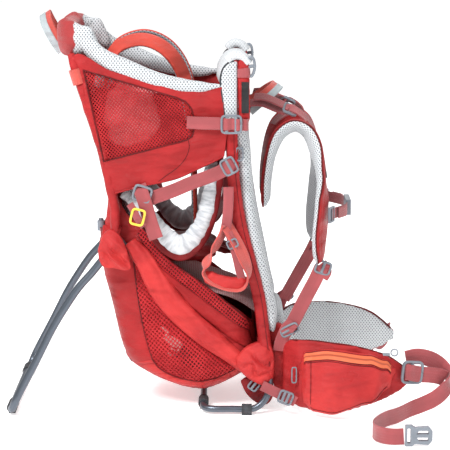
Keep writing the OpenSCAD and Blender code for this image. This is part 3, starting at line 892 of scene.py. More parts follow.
def off_line(x, z, line):
    """(distance, nearest point) from a side-view point to a line of straight spans."""
    found = []
    for (ax, az), (bx, bz) in zip(line, line[1:]):
        dx, dz = bx - ax, bz - az
        t = min(max(((x - ax) * dx + (z - az) * dz) / (dx * dx + dz * dz), 0), 1)
        near = (ax + t * dx, az + t * dz)
        found.append((math.hypot(x - near[0], z - near[1]), near))
    return min(found)


def outline_depth(x, z, outline):
    """(depth inside an outline, nearest point of it): depth is below 0 outside."""
    inside, line = False, outline + outline[:1]
    for (ax, az), (bx, bz) in zip(line, line[1:]):
        if (az > z) != (bz > z) and x < (bx - ax) * (z - az) / (bz - az) + ax:
            inside = not inside
    away, nearest = off_line(x, z, line)
    return (away if inside else -away), nearest


def on_wall(line, side, proud=0.0, steps=8):
    """Side-view points laid on a cockpit wall, as a smooth line in metres."""
    return mm([(p.x, wall_y(p.x, p.y) + proud, p.y) for p in side_spline(line, steps)], side)


def make_wall(side, name):
    """Cockpit wall with its window cut out, the window's net, pipings and seam."""
    rows = []
    for row in patch(WALL_LOW, WALL_TOP, WALL_REAR, WALL_FRONT, 84, 66):
        fixed = []
        for x, z in row:
            depth, nearest = outline_depth(x, z, WINDOW)
            if abs(depth) < WINDOW_SNAP:
                x, z = nearest
            fixed.append((x, wall_y(x, z), z))
        rows.append(mm(fixed, side))
    wall = grid(f"cockpit_wall_{name}_cloth", rows, [red_cloth_uv])
    shape = bmesh.new()
    shape.from_mesh(wall.data)
    gone = [f for f in shape.faces
            if outline_depth(*(f.calc_center_median() / MM).xz, WINDOW)[0] > 0.3]
    bmesh.ops.delete(shape, geom=gone, context="FACES")
    shape.to_mesh(wall.data)
    shape.free()
    solid(wall, CLOTH_THICK)
    fit(cut_sheet(wall), "frame", "red_fabric", f"cockpit_wall_{name}")
    make_window(side, name)
    edge = [p for a, b in zip(WINDOW, WINDOW[1:] + WINDOW[:1]) for p in straight(a, b, 6)]
    trims = [tube("t", on_wall(edge + edge[:1], side, 0.6, 1), 1.4 * MM, pipe_cloth, 8)]
    seam = [(-64, 497), (-62, 484), (-68, 466), (-82, 449), (-104, 433), (-116, 424)]
    trims.append(tube("t", on_wall(seam, side, 0.9), 0.8 * MM, pipe_cloth, 6))
    trims.append(tube("t", on_wall(WALL_LOW, side, 0.2), 2.0 * MM, red_cloth, 8))
    trims.append(tube("t", on_wall(WALL_FRONT, side, 0.2), 1.8 * MM, red_cloth, 8))
    fit(joined(f"cockpit_trim_{name}", trims), "frame", "red_fabric")


def make_window(side, name):
    """Net behind the window's opening."""
    top = [(-250, 624), (-150, 596), (-48, 566)]
    low = [(-215, 453), (-170, 464), (-125, 476), (-80, 487), (-48, 495)]
    rear = [(-215, 453), (-224, 500), (-233, 545), (-242, 582), (-250, 624)]
    front = [(-48, 495), (-48, 530), (-48, 566)]
    rows = [mm([(x, wall_y(x, z) - 2.2, z) for x, z in row], side)
            for row in patch(low, top, rear, front, 56, 44)]
    net = grid(f"cockpit_window_{name}", rows, [red_netting])
    fit(cut_sheet(net), "frame", "red_fabric")


def make_inner_lining():
    """Dark side bolsters of the child's seat, seen through the windows, with a pale patch of painted
    light for the bright far window.
    """
    for side, name in SIDES:
        rows = []
        for i in range(34):
            z = 446 + 3.9 * i
            row = []
            for j in range(50):
                x = -214 + 3.0 * j + (z - 446) * -0.12
                depth = 96 + 9 * noise.noise(Vector((x / 34, z / 21, side * 3)))
                row.append((x, depth, z - 0.10 * (x + 140)))
            rows.append(mm(row, side))
        inner = solid(grid(f"inner_lining_{name}", rows, [bolster_painted_light]), LINING_THICK)
        fit(cut_sheet(inner), "frame", "red_fabric")


def make_rear_panel():
    """Cockpit's rear cloth, and the sleeves round the headrest stay with their webbing wraps."""
    rows = []
    for point in spaced(side_spline(REAR_EDGE + [(-268, 646)], 8), 60):
        row = []
        for k in range(41):
            y = -112 + 5.6 * k
            sag = 5 * (1 - (y / 112) ** 2) + 1.6 * noise.noise(Vector((y / 30, point.y / 40, 2)))
            row.append((point.x - sag, y, point.y))
        rows.append(mm(row))
    panel = solid(grid("rear_panel_cloth", rows, [red_cloth_uv]), CLOTH_THICK)
    fit(cut_sheet(panel), "frame", "red_fabric", "rear_panel")
    for side, name in SIDES:
        line = [(-184, 340)] + [(x + 3, z) for x, z in REAR_EDGE] + [(-266, 645)]
        path = side_line(line, 128, 90, side)

        def around(share):
            swell = value_at([(0, 0.25), (0.05, 0.8), (0.12, 1), (0.94, 1), (1, 0.7)], share)
            ring = oval(13.5 * swell * MM, 9 * swell * MM, 28, 2.5)
            return rippled(ring, 0.09, 5, share * 22, side)

        sleeve = closed(f"rear_sleeve_{name}", sweep(path, around, Y_AXIS), red_cloth, ROUND)
        fit(sleeve, "frame", "red_fabric")
        start = len(path) * 84 // 100
        ring = [Vector((a, b)) * 1.12 for a, b in oval(14.6 * MM, 10 * MM, 28, 2.5)]
        wrap = sweep(path[start:start + 8], [tuple(p) for p in ring], Vector((0.35, 1, 0.25)))
        fit(closed(f"rear_sleeve_wrap_{name}", wrap, web_look(0.03, CORAL)), "frame", "webbing")


HEAD_TOP_SIDE = [(-300, 676), (-292, 694), (-282, 705), (-268, 713), (-254, 715), (-240, 706),
                 (-228, 690), (-218, 668), (-210, 650)]
HEAD_TOP_REAR = [(0, 718), (66, 716), (95, 703), (108, 690), (119, 668)]


def headrest_line():
    """Plan of the headrest's U, from the right front end round to the left one."""
    corner, reach = 61, 43
    half = [(-212, -104), (-219, -104), (-228, -104), (-238, -104)]
    half += [(-238 - reach * math.sin(a), -corner - reach * math.cos(a))
             for a in (0.4, 0.8, 1.2, math.pi / 2)]
    half += [(-281, -30), (-281, 0)]
    other = [(x, -y) for x, y in reversed(half[:-1])]
    return spaced(side_spline(half + other, 6), 61)


def make_headrest():
    """Padded U round the child's head."""
    line = headrest_line()
    rows = []
    for i, point in enumerate(line):
        last = len(line) - 1
        along = (line[min(i + 1, last)] - line[max(i - 1, 0)]).normalized()
        outward = Vector((along.y, -along.x, 0))
        if outward.dot(point - Vector((-225, 0, 0))) < 0:
            outward.negate()
        top = min(value_at(HEAD_TOP_SIDE, point.x), value_at(HEAD_TOP_REAR, abs(point.y)))
        low = value_at([(-280, 634), (-238, 640), (-217, 632), (-205, 628)], point.x)
        end = min(i, last - i)
        slim = value_at([(0, 0.45), (2, 0.85), (5, 1.0)], end)
        half_z = (top - low) / 2 * value_at([(0, 0.82), (3, 1)], end)
        row = []
        for a, b in oval(half_z, 12.5 * slim, 28, 2.6):
            lean = 0.10 * a
            spot = point + outward * (b + lean * 0.3) + Z_AXIS * ((top + low) / 2 + a)
            row.append(spot * MM)
        rows.append(row)

    cover = headrest_cover("headrest_cover", RED, scaled(RED, 0.7), -0.257, 0.004)
    pad("headrest_pad", rows, [cover], "frame", "air_mesh", ["headrest"], cap=5)


RIM_LINE = [(-250, 107, 672), (-236, 115, 658), (-217, 124, 642), (-192, 129.5, 629),
            (-160, 131.5, 617), (-120, 132.5, 602), (-75, 133, 591), (-40, 133, 587.5),
            (-14, 132.5, 588.5), (1, 132, 589)]
RIM_HEIGHT = [(0, 24), (0.12, 34), (0.3, 37), (0.5, 32), (0.7, 28), (0.82, 23), (0.93, 12), (1, 5)]


def make_rims():
    """Padded rolls along the tops of the cockpit walls."""
    for side, name in SIDES:
        path = smooth_line(mm(RIM_LINE, side), 70)

        def section(share):
            half = value_at(RIM_HEIGHT, share) / 2 * MM
            thick = value_at([(0, 9), (0.2, 11.5), (0.85, 10.5), (1, 4)], share) * MM
            return oval(thick, half, 24, 2.5)

        pad(f"collar_{name}_pad", sweep(path, section, Y_AXIS), [white_mesh], "frame", "air_mesh",
            [f"collar_{name}"], cap=3, voxel=4)


CHIN_OUTLINE = [(-8, 584), (-16, 598), (-13, 616), (0, 632), (19, 638), (36, 634), (43, 620),
                (38, 602), (24, 588), (6, 581)]
CHIN_END = [(2, 522), (-1, 545), (-4, 568), (-7, 590), (-7, 606), (-3, 620), (6, 630), (16, 633)]


def bolster(ring, centre, reach, count, sizes):
    """Rows of a body along Y, from -reach to reach: a ring scaled by a table of sizes."""
    rows = []
    for k in range(count):
        y = -reach + 2 * reach * k / (count - 1)
        size = value_at(sizes, y)
        rows.append([(centre + (p - centre) * size + Y_AXIS * y) * MM for p in ring])
    return rows


def make_chin_pad():
    """Padded roll over the top crossbar, with its flat ends, caps and pipings."""
    sizes = [(-112, 0.50), (-109, 0.70), (-103, 0.84), (-92, 0.93), (-60, 0.97), (0, 0.98),
             (60, 0.97), (92, 0.93), (103, 0.84), (109, 0.70), (112, 0.50)]
    rows = bolster(outline_ring(CHIN_OUTLINE, 4), Vector((14, 0, 610)), 112, 49, sizes)
    pad("chin_pad_roll", rows, [roll_mesh], "frame", "air_mesh", ["chin_pad"], cap=4)
    for side, name in SIDES:
        edge = spline([(x, 0, z) for x, z in CHIN_END], 6)
        rows = []
        for k in range(21):
            z = 522 + 111 * k / 20
            left = min((abs(p.z - z), p.x) for p in edge)[1]
            row = []
            for a, b in oval((21 - left) / 2, 5.0, 26, 2.6):
                row.append(((21 + left) / 2 + a, 133 + b * min(1, (634 - z) / 6 + 0.3), z))
            rows.append(mm(row, side))
        flap = closed(f"chin_end_{name}", rows, white_mesh, ROUND)
        fit(softer(flap), "frame", "air_mesh")
        cap = [(4, 123, 632), (16, 123, 642), (30, 123, 640), (41, 122, 628)]
        cap = sweep(smooth_line(mm(cap, side), 24), oval(14 * MM, 8.5 * MM, 26, 2.4), Y_AXIS)
        cap = closed(f"chin_cap_{name}", cap, roll_mesh, ROUND)
        fit(softer(cap), "frame", "air_mesh")
        line = mm([(p.x - 0.5, 134.5, p.z) for p in edge], side)
        fit(tube(f"chin_end_piping_{name}", line, 1.5 * MM, grey_pipe, 8), "frame", "air_mesh")


for wall_side, wall_name in SIDES:
    make_wall(wall_side, wall_name)
make_rear_panel()
make_inner_lining()
make_headrest()
make_rims()
make_chin_pad()

# ---------- Back system ----------

def crowned_pad(name, line, thick, half_y, y, side, looks, body, slot, nodes):
    """Pad with its width along Y round a side-view line; thick and half_y follow the share."""
    path = smooth_line(mm([(x, y, z) for x, z in line], side), 60)

    def section(share):
        ends = value_at([(0, 0.35), (0.03, 0.8), (0.07, 1), (0.93, 1), (0.97, 0.8), (1, 0.35)], share)
        return oval(half_y(share) * ends * MM, thick(share) * ends * MM, 32, 3)

    pad(name, sweep(path, section, Y_AXIS), looks, body, slot, nodes, cap=4)


def make_back():
    """Wearer's back pads, lumbar pad and back panel."""
    for side, name in SIDES:
        line = [(26, 560), (28, 511), (31, 478), (36, 407), (46, 335), (60, 268), (73, 213), (84, 172),
                (92, 134)]

        def thick(share):
            return value_at([(0, 6), (0.2, 10), (0.6, 12), (1, 8)], share)

        def half(share):
            return value_at([(0, 34), (0.15, 40), (0.8, 42), (1, 38)], share)

        crowned_pad(f"back_pad_{name}_soft", line, thick, half, 88, side, [white_mesh], "frame",
                    "air_mesh", [f"back_pad_{name}"])
    ring = outline_ring([(84, 172), (98, 174), (106, 150), (108, 112), (105, 72), (95, 60), (84, 66),
                         (82, 110), (82, 150)], 4)
    sizes = [(-103, 0.55), (-98, 0.85), (-86, 1), (86, 1), (98, 0.85), (103, 0.55)]
    rows = bolster(ring, Vector((95, 0, 116)), 103, 45, sizes)
    pad("lumbar_pad_soft", rows, [white_mesh], "frame", "air_mesh", ["lumbar_pad"], cap=3)
    rows = []
    for point in side_line([(x, z) for x, z in SPINE if z < 600], 0, 70):
        x, z = point.x / MM, point.z / MM
        rows.append(mm([(x - 3 * math.cos(y / 40) + 1.4 * noise.noise(Vector((0, y, z)) / 30), y, z)
                        for y in range(-115, 116, 5)]))
    panel = solid(grid("back_panel_cloth", rows, [dark_cloth]), LINING_THICK)
    fit(cut_sheet(panel), "frame", "red_fabric", "back_panel")


def make_frame_sleeves():
    """Cloth sleeves round the main tubes with a seam along each, and the covers at their top."""
    line = [(15, 634), (13, 600), (13, 565), (12, 520), (12, 481), (17, 410), (28, 339), (44, 277),
            (60, 213), (70, 140), (75, 98), (76, 70)]
    for side, name in SIDES:
        path = side_line(line, 125, 130, side)

        def section(share):
            wide = value_at([(0, 8.5), (0.04, 9.5), (0.3, 10.5), (0.6, 11.5), (0.9, 11), (1, 9)], share)
            return rippled(oval(wide * MM, 9.6 * MM, 26, 2.3), 0.07, 4, share * 34, side * 3)

        sleeve = closed(f"frame_sleeve_{name}", sweep(path, section, X_AXIS), red_cloth, ROUND)
        fit(sleeve, "frame", "red_fabric")
        seam = [p + Vector((0.004, side * 0.0092, 0)) for p in path[4:-4]]
        fit(tube(f"frame_sleeve_seam_{name}", seam, 0.7 * MM, pipe_cloth, 6), "frame", "red_fabric")
        make_top_cover(side, name)


def make_top_cover(side, name):
    """Red cover over the head of the back pad, with its blank label, band and clip."""
    line = smooth_line(mm([(34, 127, 524), (33, 128, 560), (32, 128, 600), (31, 127, 636)], side), 60)

    def section(share):
        wide = value_at([(0, 7), (0.1, 10), (0.9, 10.5), (1, 7)], share)
        return rippled(oval(wide * MM, 8 * MM, 26, 2.6), 0.08, 4, share * 13, side * 7)

    fit(closed(f"top_cover_{name}", sweep(line, section, X_AXIS), red_cloth, ROUND), "frame",
        "red_fabric")
    label = sweep(smooth_line(mm([(35, 137.2, 597), (35, 137.2, 570), (35, 136.8, 543)], side), 14),
                  web_section(0.013, 0.0014), X_AXIS)
    fit(closed(f"blank_label_{name}", label, label_cloth), "frame", "webbing")
    band = sweep(smooth_line(mm([(31, 127, 620), (32, 127.5, 612), (32, 128, 604)], side), 10),
                 oval(12 * MM, 9.6 * MM, 26, 2.6), X_AXIS)
    fit(closed(f"top_cover_band_{name}", band, web_look(0.02)), "frame", "webbing")
    hooks = []
    for shift in (0, 9):
        route = [(38, 131 - shift, 632), (44, 133 - shift, 640), (50, 132 - shift, 634),
                 (51, 131 - shift, 618), (46, 131 - shift, 606), (40, 131 - shift, 610)]
        hooks.append(tube("t", smooth_line(mm(route, side), 24), 2.4 * MM, buckle_plastic, 10))
    route = [(40, 130, 622), (47, 130, 624), (53, 129, 622)]
    hooks.append(tube("t", smooth_line(mm(route, side), 8), 3.0 * MM, buckle_plastic, 10))
    fit(joined(f"top_clip_{name}", hooks), "frame", "buckle")


def make_handles():
    """Grab loops: coral webbing with a reflective strip sewn along one edge."""
    front = [(42, 38, 536), (62, 37, 553), (84, 26, 570), (95, 0, 578)]
    rear = [(-288, 34, 642), (-303, 33, 664), (-317, 24, 690), (-322, 0, 706)]
    for name, half, lean, shift in (("front", front, Vector((0.8, 0, -0.6)), 5),
                                    ("rear", rear, Vector((-0.75, 0.0, -0.5)), 5)):
        line = hoop(half, 12)
        band = closed(f"{name}_handle_band", sweep(line, web_section(0.022, 0.0026), lean),
                      web_look(0.022, CORAL), FLAT_WEB)
        fit(band, "frame", "webbing", f"{name}_handle")
        strip = [(a + shift * MM, b) for a, b in web_section(0.013, 0.0046)]
        fit(closed(f"{name}_handle_strip", sweep(line, strip, lean), reflective, FLAT_WEB),
            "frame", "webbing")


# ---------- Moulded sliders ----------

def slider(centre, right, up, half_w, half_h, bars, bar):
    """Rounded frame of a strap slider with cross bars, in millimetres round its centre."""
    centre, right, up = Vector(centre), Vector(right).normalized(), Vector(up).normalized()
    up = (up - up.dot(right) * right).normalized()
    edge = oval(half_w, half_h, 40, 2 / 0.38)
    ring = [(centre + right * a + up * b) * MM for a, b in edge + edge[:1]]
    rows = sweep(ring, oval(bar * 1.25 * MM, bar * MM, 14, 3), right.cross(up))
    rows[-1] = rows[0]
    made = [closed("t", rows, buckle_plastic, ROUND)]
    for at in bars:
        ends = [(centre + right * at + up * half_h * t) * MM for t in (-1, -0.5, 0, 0.5, 1)]
        rows = sweep(ends, oval(bar * 1.3 * MM, bar * 0.8 * MM, 14, 3), right)
        made.append(closed("t", rows, buckle_plastic))
    return made


def once(side, node):
    """The CAD node that a pair of pieces stands for, told by the right one only."""
    return [node] if side < 0 else []


def make_sliders():
    """Sliders and rings that the straps thread through."""
    for side, name in SIDES:
        def spot(x, y, z):
            return (x, y * side, z)

        made = slider(spot(11, 149, 525), X_AXIS, Z_AXIS, 17, 15, (-8, 8), 2.0)
        made += slider(spot(7, 150, 452), (0.88, 0, 0.47), Z_AXIS, 12, 14, (0,), 1.8)
        fit(joined(f"side_sliders_{name}", made), "frame", "buckle",
            *once(side, "side_adjusters"))
        made = slider(spot(-144, 153, 404), (0.94, 0, -0.3), Z_AXIS, 15, 13, (), 2.1)
        fit(joined(f"entry_ring_{name}", made), "frame", "buckle", *once(side, "entry_rings"))
        made = slider(spot(116, 63, 540), (0.88, 0, -0.42), (0, 0.85 * -side, 0.5), 12, 13, (0,), 1.9)
        made += slider(spot(175, 107, 262), (0.9, 0, -0.3), (0.3, 0, 0.95), 13, 11, (0,), 2.0)
        fit(joined(f"strap_sliders_{name}", made), "harness", "buckle",
            *once(side, "strap_ladder_locks"))
        made = slider(spot(115, 124, 152), (0.45, 0, -0.89), (0.87, 0, 0.45), 8, 16, (0,), 1.8)
        made += slider(spot(25, 130, 470), (1, 0, 0), Z_AXIS, 6, 11, (), 1.8)
        fit(joined(f"back_sliders_{name}", made), "frame", "buckle")
    made = slider((332, -161, 84), (1, 0.25, -0.1), Z_AXIS, 18, 19, (-2,), 2.4)
    fit(joined("waist_ladder_lock_moulded", made), "hip_right", "buckle", "waist_ladder_lock")


# ---------- Harness ----------

SHOULDER = [(70, 45, 366), (72, 48, 415), (80, 54, 462), (97, 62, 499), (125, 70, 515),
            (152, 79, 500), (168, 89, 455), (175, 97, 404), (173, 103, 352), (170, 106, 308),
            (170, 107, 272)]
ROLL = [(0, 5), (0.15, 8), (0.38, 21), (0.52, 16), (0.64, 0), (0.76, -18), (0.9, -22), (1, -16)]
STRAP_HALF = [(0, 24), (0.12, 27), (0.5, 28), (0.85, 28), (0.94, 23), (1, 15)]


def turned(points, degrees):
    """A section turned about the line that it is swept along."""
    turn = math.radians(degrees)
    c, s = math.cos(turn), math.sin(turn)
    return [(a * c - b * s, a * s + b * c) for a, b in points]


def flat_pad(count, half, depths, powers):
    """Section of a flat pad, with the depth of its outer face and of its inner one."""
    made = []
    for k in range(count):
        angle = 2 * math.pi * (k + 0.5) / count
        c, s = math.cos(angle), math.sin(angle)
        made.append((half * math.copysign(abs(c) ** powers[0], c),
                     depths[s < 0] * math.copysign(abs(s) ** powers[1], s)))
    return made


def make_shoulder_strap(side, name):
    """Padded strap with its piping, outer webbing and reflective patch."""
    path = smooth_line(mm(SHOULDER, side), 150)
    count = 36

    def body_section(share):
        half = value_at(STRAP_HALF, share)
        thin = value_at([(0, 0.55), (0.03, 1), (0.97, 1), (1, 0.6)], share)
        made = []
        for a, b in flat_pad(count, half, (5.4 * thin, 12 * thin), (0.62, 0.75)):
            if b > 0:
                b -= 1.6 * thin * math.exp(-((abs(a) - half * 0.55) / 2.2) ** 2)
            made.append((a * MM, b * MM))
        return turned(made, value_at(ROLL, share) * side)

    def look_of(i, j):
        return 0 if 0 <= j < count // 2 else 1

    rows = sweep(path, body_section, Y_AXIS)
    made = grid(f"shoulder_strap_{name}_soft", rows, [red_cloth, white_mesh_uv], around=True,
                capped=True, look_of=look_of, sharp=ROUND)
    softer(made)
    fit(made, "harness", "red_fabric", f"shoulder_strap_{name}")
    trims = []
    for edge in (-1, 1):
        one, other = (0, -1) if edge > 0 else (count // 2 - 1, count // 2)
        line = [row[one].lerp(row[other], 0.5) for row in rows]
        trims.append(tube("t", line, 1.5 * MM, pipe_cloth, 8))
    fit(joined(f"shoulder_piping_{name}", trims), "harness", "red_fabric")

    def web(share):
        roll = value_at(ROLL, first / 149 + share * (last / 149 - first / 149)) * side
        return turned([(a, b + 5.6 * MM) for a, b in web_section(0.025, 0.0022)], roll)

    first, last = 45, 97
    rows = sweep(path[first:last + 1], web, Y_AXIS)
    fit(closed(f"shoulder_web_{name}", rows, web_look(0.025), FLAT_WEB), "harness", "webbing")

    patch_section = turned([(a, b + 6.3 * MM) for a, b in web_section(0.030, 0.0014)],
                           value_at(ROLL, 0.62) * side)
    rows = sweep(path[94:99], patch_section, Y_AXIS)
    fit(closed(f"shoulder_patch_{name}", rows, reflective, FLAT_WEB), "harness", "webbing")


def make_load_lifter(side):
    """Two webbings from the frame to the shoulder strap, and a loose tail."""
    low = [(30, 46, 546), (48, 47, 550), (66, 50, 550), (88, 55, 542), (108, 60, 535)]
    high = [(52, 48, 561), (70, 51, 561), (92, 56, 553), (114, 61, 543)]
    tail = [(108, 60, 535), (116, 63, 543), (128, 66, 538), (139, 69, 529), (144, 71, 521)]
    return [strap("t", mm(path, side), 0.020, 0.0022, web_look(0.02), Vector((0, 0.85 * -side, 0.5)))
            for path in (low, high, tail)]


def make_harness():
    """Shoulder straps, load lifters, lower straps, yoke and chest webbing."""
    for side, name in SIDES:
        make_shoulder_strap(side, name)
    lifters = joined("load_lifter_webs", make_load_lifter(-1) + make_load_lifter(1))
    bridge(lifters, "frame", "harness", (0.04, 0, 0.555), (0.10, 0, 0.54), "webbing", "load_lifters")
    lowers = []
    for side, name in SIDES:
        for path in ([(172, 104, 264), (161, 108, 240), (143, 112, 206), (126, 117, 173),
                      (113, 121, 148)],
                     [(170, 105, 268), (178, 105, 256), (172, 108, 244)],
                     [(122, 121, 166), (110, 124, 152), (102, 121, 132), (98, 118, 112)]):
            lowers.append(strap("t", mm(path, side), 0.025, 0.0022, web_look(0.025),
                                Vector((0.86, 0, 0.5))))
    bridge(joined("lower_strap_webs", lowers), "harness", "frame", (0.168, 0, 0.250),
           (0.118, 0, 0.155), "webbing", "lower_straps")
    rows = []
    for k in range(25):
        z = 345 + 40 * k / 24
        rows.append(mm([(46 + 3 * math.cos(y / 24), y, z) for y in range(-37, 38, 2)]))
    yoke = solid(grid("harness_yoke_cloth", rows, [dark_cloth]), YOKE_THICK)
    fit(yoke, "harness", "red_fabric", "harness_yoke")
    web = [(190, 97, 357), (197, 82, 357), (209, 64, 357), (218, 48, 357), (222, 26, 357)]
    fold = [(203, 83, 357), (214, 66, 357), (219, 56, 357)]
    pieces = []
    for side in (1, -1):
        pieces += [strap("t", mm(web, side), 0.020, 0.0022, web_look(0.02), Z_AXIS),
                   strap("t", mm(fold, side), 0.020, 0.0020, web_look(0.02), Z_AXIS)]
    fit(joined("sternum_webs", pieces), "sternum", "webbing", "sternum_webbing")


# ---------- Hip belt ----------

FIN_INNER = [(104, 107), (146, 132), (204, 150), (264, 154), (334, 143)]
FIN_OUTER = [(104, 119), (138, 146), (200, 164), (268, 168), (334, 150)]
FIN_TOP, FIN_LOW = ([(p.x, p.y) for p in side_spline(line, 8)] for line in (
    [(103, 128), (128, 141), (184, 142), (232, 136), (281, 122), (312, 101), (334, 80)],
    [(103, 24), (125, 11), (163, 2.5), (209, 4.5), (257, 20), (300, 38), (334, 62)]))
POCKET_INNER = [(132, 146), (140, 148.5), (200, 165.5), (268, 169.5), (304, 161)]
POCKET_TOP = [(134, 96), (142, 119), (184, 127), (254, 120), (284, 110), (302, 92)]
POCKET_LOW = [(134, 88), (140, 24), (158, 9), (186, 7), (256, 28), (290, 55), (302, 84)]
POCKET_DEPTH = [(134, 3), (146, 15), (176, 22), (220, 26), (262, 20), (292, 9), (302, 3)]


def make_hip_fin(side, name):
    """Padded fin of the hip belt, mesh inside and cloth outside, with piping near its top edge."""
    rows = []
    for k in range(70):
        x = 104 + 230 * k / 69
        low, top = value_at(FIN_LOW, x), value_at(FIN_TOP, x)
        inner, outer = value_at(FIN_INNER, x), value_at(FIN_OUTER, x)
        half, thick = (top - low) / 2, (outer - inner) / 2
        row = []
        for a, b in oval(half, thick, 40, 2.8):
            ruche = 1.3 * math.sin(x / 3.4) * math.exp(-((x - 230) / 34) ** 2) if b < 0 else 0
            y = (inner + outer) / 2 + b + ruche * max(0, 1 - abs(a / half))
            row.append((x, y, (top + low) / 2 + a))
        rows.append(mm(row, side))

    def pick(normal):
        return 1 if normal.y * side < -0.15 else 0

    pad(f"hip_fin_{name}_soft", rows, [red_cloth, grey_mesh_light], f"hip_{name}", "red_fabric",
        [f"hip_fin_{name}"], cap=3, pick=pick)
    edge = []
    for k in range(60):
        x = 108 + 216 * k / 59
        y = (value_at(FIN_INNER, x) + value_at(FIN_OUTER, x)) / 2 - 1
        edge.append((x, y, value_at(FIN_TOP, x) - 6))
    fit(tube(f"hip_fin_piping_{name}", mm(edge, side), 1.8 * MM, pipe_cloth, 8), f"hip_{name}",
        "red_fabric")


def soft_patch(name, outline, side, y, rise, look, fold=2.0, size=12.0, pleats=0.0):
    """Wrinkled pillow over a side-view outline; rise is how far its middle stands out."""
    ring = outline_ring(outline, 5)
    centre = sum(ring, Vector()) / len(ring)
    rows = []
    for k in range(23):
        share = 1 - k / 22 * 0.998
        row = []
        for p in ring:
            at = centre + (p - centre) * share
            spot = Vector(((at.x + at.z) / size, side, (at.z - at.x) / (2.4 * size)))
            crease = fold * noise.noise(spot)
            stray = noise.noise(Vector((at.x / 26, side, at.z / 20)))
            slant = (at.z * 0.86 + at.x * 0.42) / 7.2 + 2.6 * stray
            crease += pleats * (abs(math.sin(slant)) ** 0.7 - 0.3)
            row.append((at.x, y + rise * (1 - share ** 3) + crease * (1 - share ** 6), at.z))
        rows.append(mm(row, side))
    skirt = [[Vector((p.x, p.y - side * 0.012, p.z)) for p in rows[0]]]
    made = grid(name, skirt + rows, [look], around=True, sharp=ROUND)
    return softer(solid(made, PATCH_THICK, -1))


def make_belt_root():
    """Where the belt, the bag's front corner and the frame meet."""
    for side, name in SIDES:
        corner = [(20, 100), (36, 120), (60, 131), (79, 128), (87, 108), (88, 84), (86, 62), (76, 50),
                  (58, 54), (38, 66), (24, 82)]
        made = soft_patch(f"bag_corner_{name}", corner, side, 131, 5, coral_red, 2.5, 14, 7.0)
        fit(cut_sheet(made), "frame", "coral_fabric")
        flap = [(28, 54), (38, 32), (56, 15), (74, 11), (85, 22), (88, 44), (80, 60), (60, 64),
                (40, 62)]
        fit(cut_sheet(soft_patch(f"belt_flap_{name}", flap, side, 119, 5, dark_cloth, 1.5, 12)),
            "frame", "red_fabric")
        root = [(80, 152), (92, 160), (104, 156), (110, 140), (112, 90), (110, 34), (100, 24), (90, 40),
                (84, 60), (80, 100)]
        made = cut_sheet(soft_patch(f"belt_root_{name}", root, side, 109, 3, red_cloth, 2.0, 18))
        bridge(made, "frame", f"hip_{name}", (0.084, 0, 0), (0.112, 0, 0), "red_fabric")
        made = slider((52, 127 * side, 50), (0.8, 0, -0.6), (0.6, 0, 0.8), 8, 9, (0,), 1.7)
        fit(joined(f"flap_slider_{name}", made), "frame", "buckle")
        web = strap(f"belt_web_{name}", mm([(66, 141, 54), (80, 145, 48), (96, 149, 41), (112, 151, 34),
                                            (126, 152, 27)], side), 0.019, 0.0024, web_look(0.019),
                    Vector((0.35, 0, 0.94)))
        bridge(web, "frame", f"hip_{name}", (0.07, 0, 0.05), (0.10, 0, 0.04), "webbing")
        made = slider((108, 153 * side, 35), (0.93, 0, -0.36), (0.36, 0, 0.93), 12, 11, (-4, 4), 1.9)
        made += slider((123, 150 * side, 76), (1, 0.1, 0), Z_AXIS, 4, 14, (), 1.2)
        fit(joined(f"belt_sliders_{name}", made), f"hip_{name}", "buckle")


def pocket_y(x, z):
    """Distance of the hip pocket's outer surface from the middle plane."""
    low, top = value_at(POCKET_LOW, x), value_at(POCKET_TOP, x)
    t = min(abs((z - (low + top) / 2) / ((top - low) / 2 + 0.01)), 1)
    dent = 5 * math.exp(-((x - 238) / 34) ** 2 - ((z - 72) / 20) ** 2)
    fold = 2.2 * noise.noise(Vector((x, 0, z)) / 24)
    full = value_at(POCKET_DEPTH, x) * (1 - t ** 3.2) ** 0.55
    return value_at(POCKET_INNER, x) - 1 + full - (dent + fold) * (full > 4)


def make_hip_pocket():
    """Zipped pocket on the right fin, with its zip tape and stitched seams."""
    rows = []
    for k in range(80):
        x = 134 + 168 * k / 79
        low, top = value_at(POCKET_LOW, x), value_at(POCKET_TOP, x)
        row = []
        for j in range(45):
            z = (low + top) / 2 + (top - low) / 2 * math.sin(math.pi * (j / 44 - 0.5))
            row.append((x, pocket_y(x, z), z))
        row += [(x, value_at(POCKET_INNER, x) - 2, z) for z in (top, low)]
        rows.append(mm(row, -1))
    pocket = closed("hip_pocket_cloth", rows, coral_red, 70)
    fit(pocket, "hip_right", "coral_fabric", "hip_pocket")
    band = []
    for x in range(140, 294, 3):
        heights = [value_at(POCKET_TOP, x) - drop for drop in (2, 5, 8, 11, 14)]
        band.append(mm([(x, pocket_y(x, z) + 0.7, z) for z in heights], -1))
    fit(grid("hip_pocket_zip", band, [zip_tape]), "hip_right", "zip_metal")
    stitches = []
    for drop in (1.2, 15, 17.5):
        path = [(x, pocket_y(x, value_at(POCKET_TOP, x) - drop) + 0.5, value_at(POCKET_TOP, x) - drop)
                for x in range(140, 296, 3)]
        stitches.append(tube("t", mm(path, -1), 0.6 * MM, pipe_cloth, 6))
    left = [(152, z) for z in range(26, 106, 3)]
    bottom = [(x, value_at(POCKET_LOW, x) + 7) for x in range(152, 290, 3)]
    for route in (left, bottom):
        path = [(x, pocket_y(x, z) + 0.4, z) for x, z in route]
        stitches.append(tube("t", mm(path, -1), 0.7 * MM, pipe_cloth, 6))
    fit(joined("hip_pocket_stitching", stitches), "hip_right", "coral_fabric")


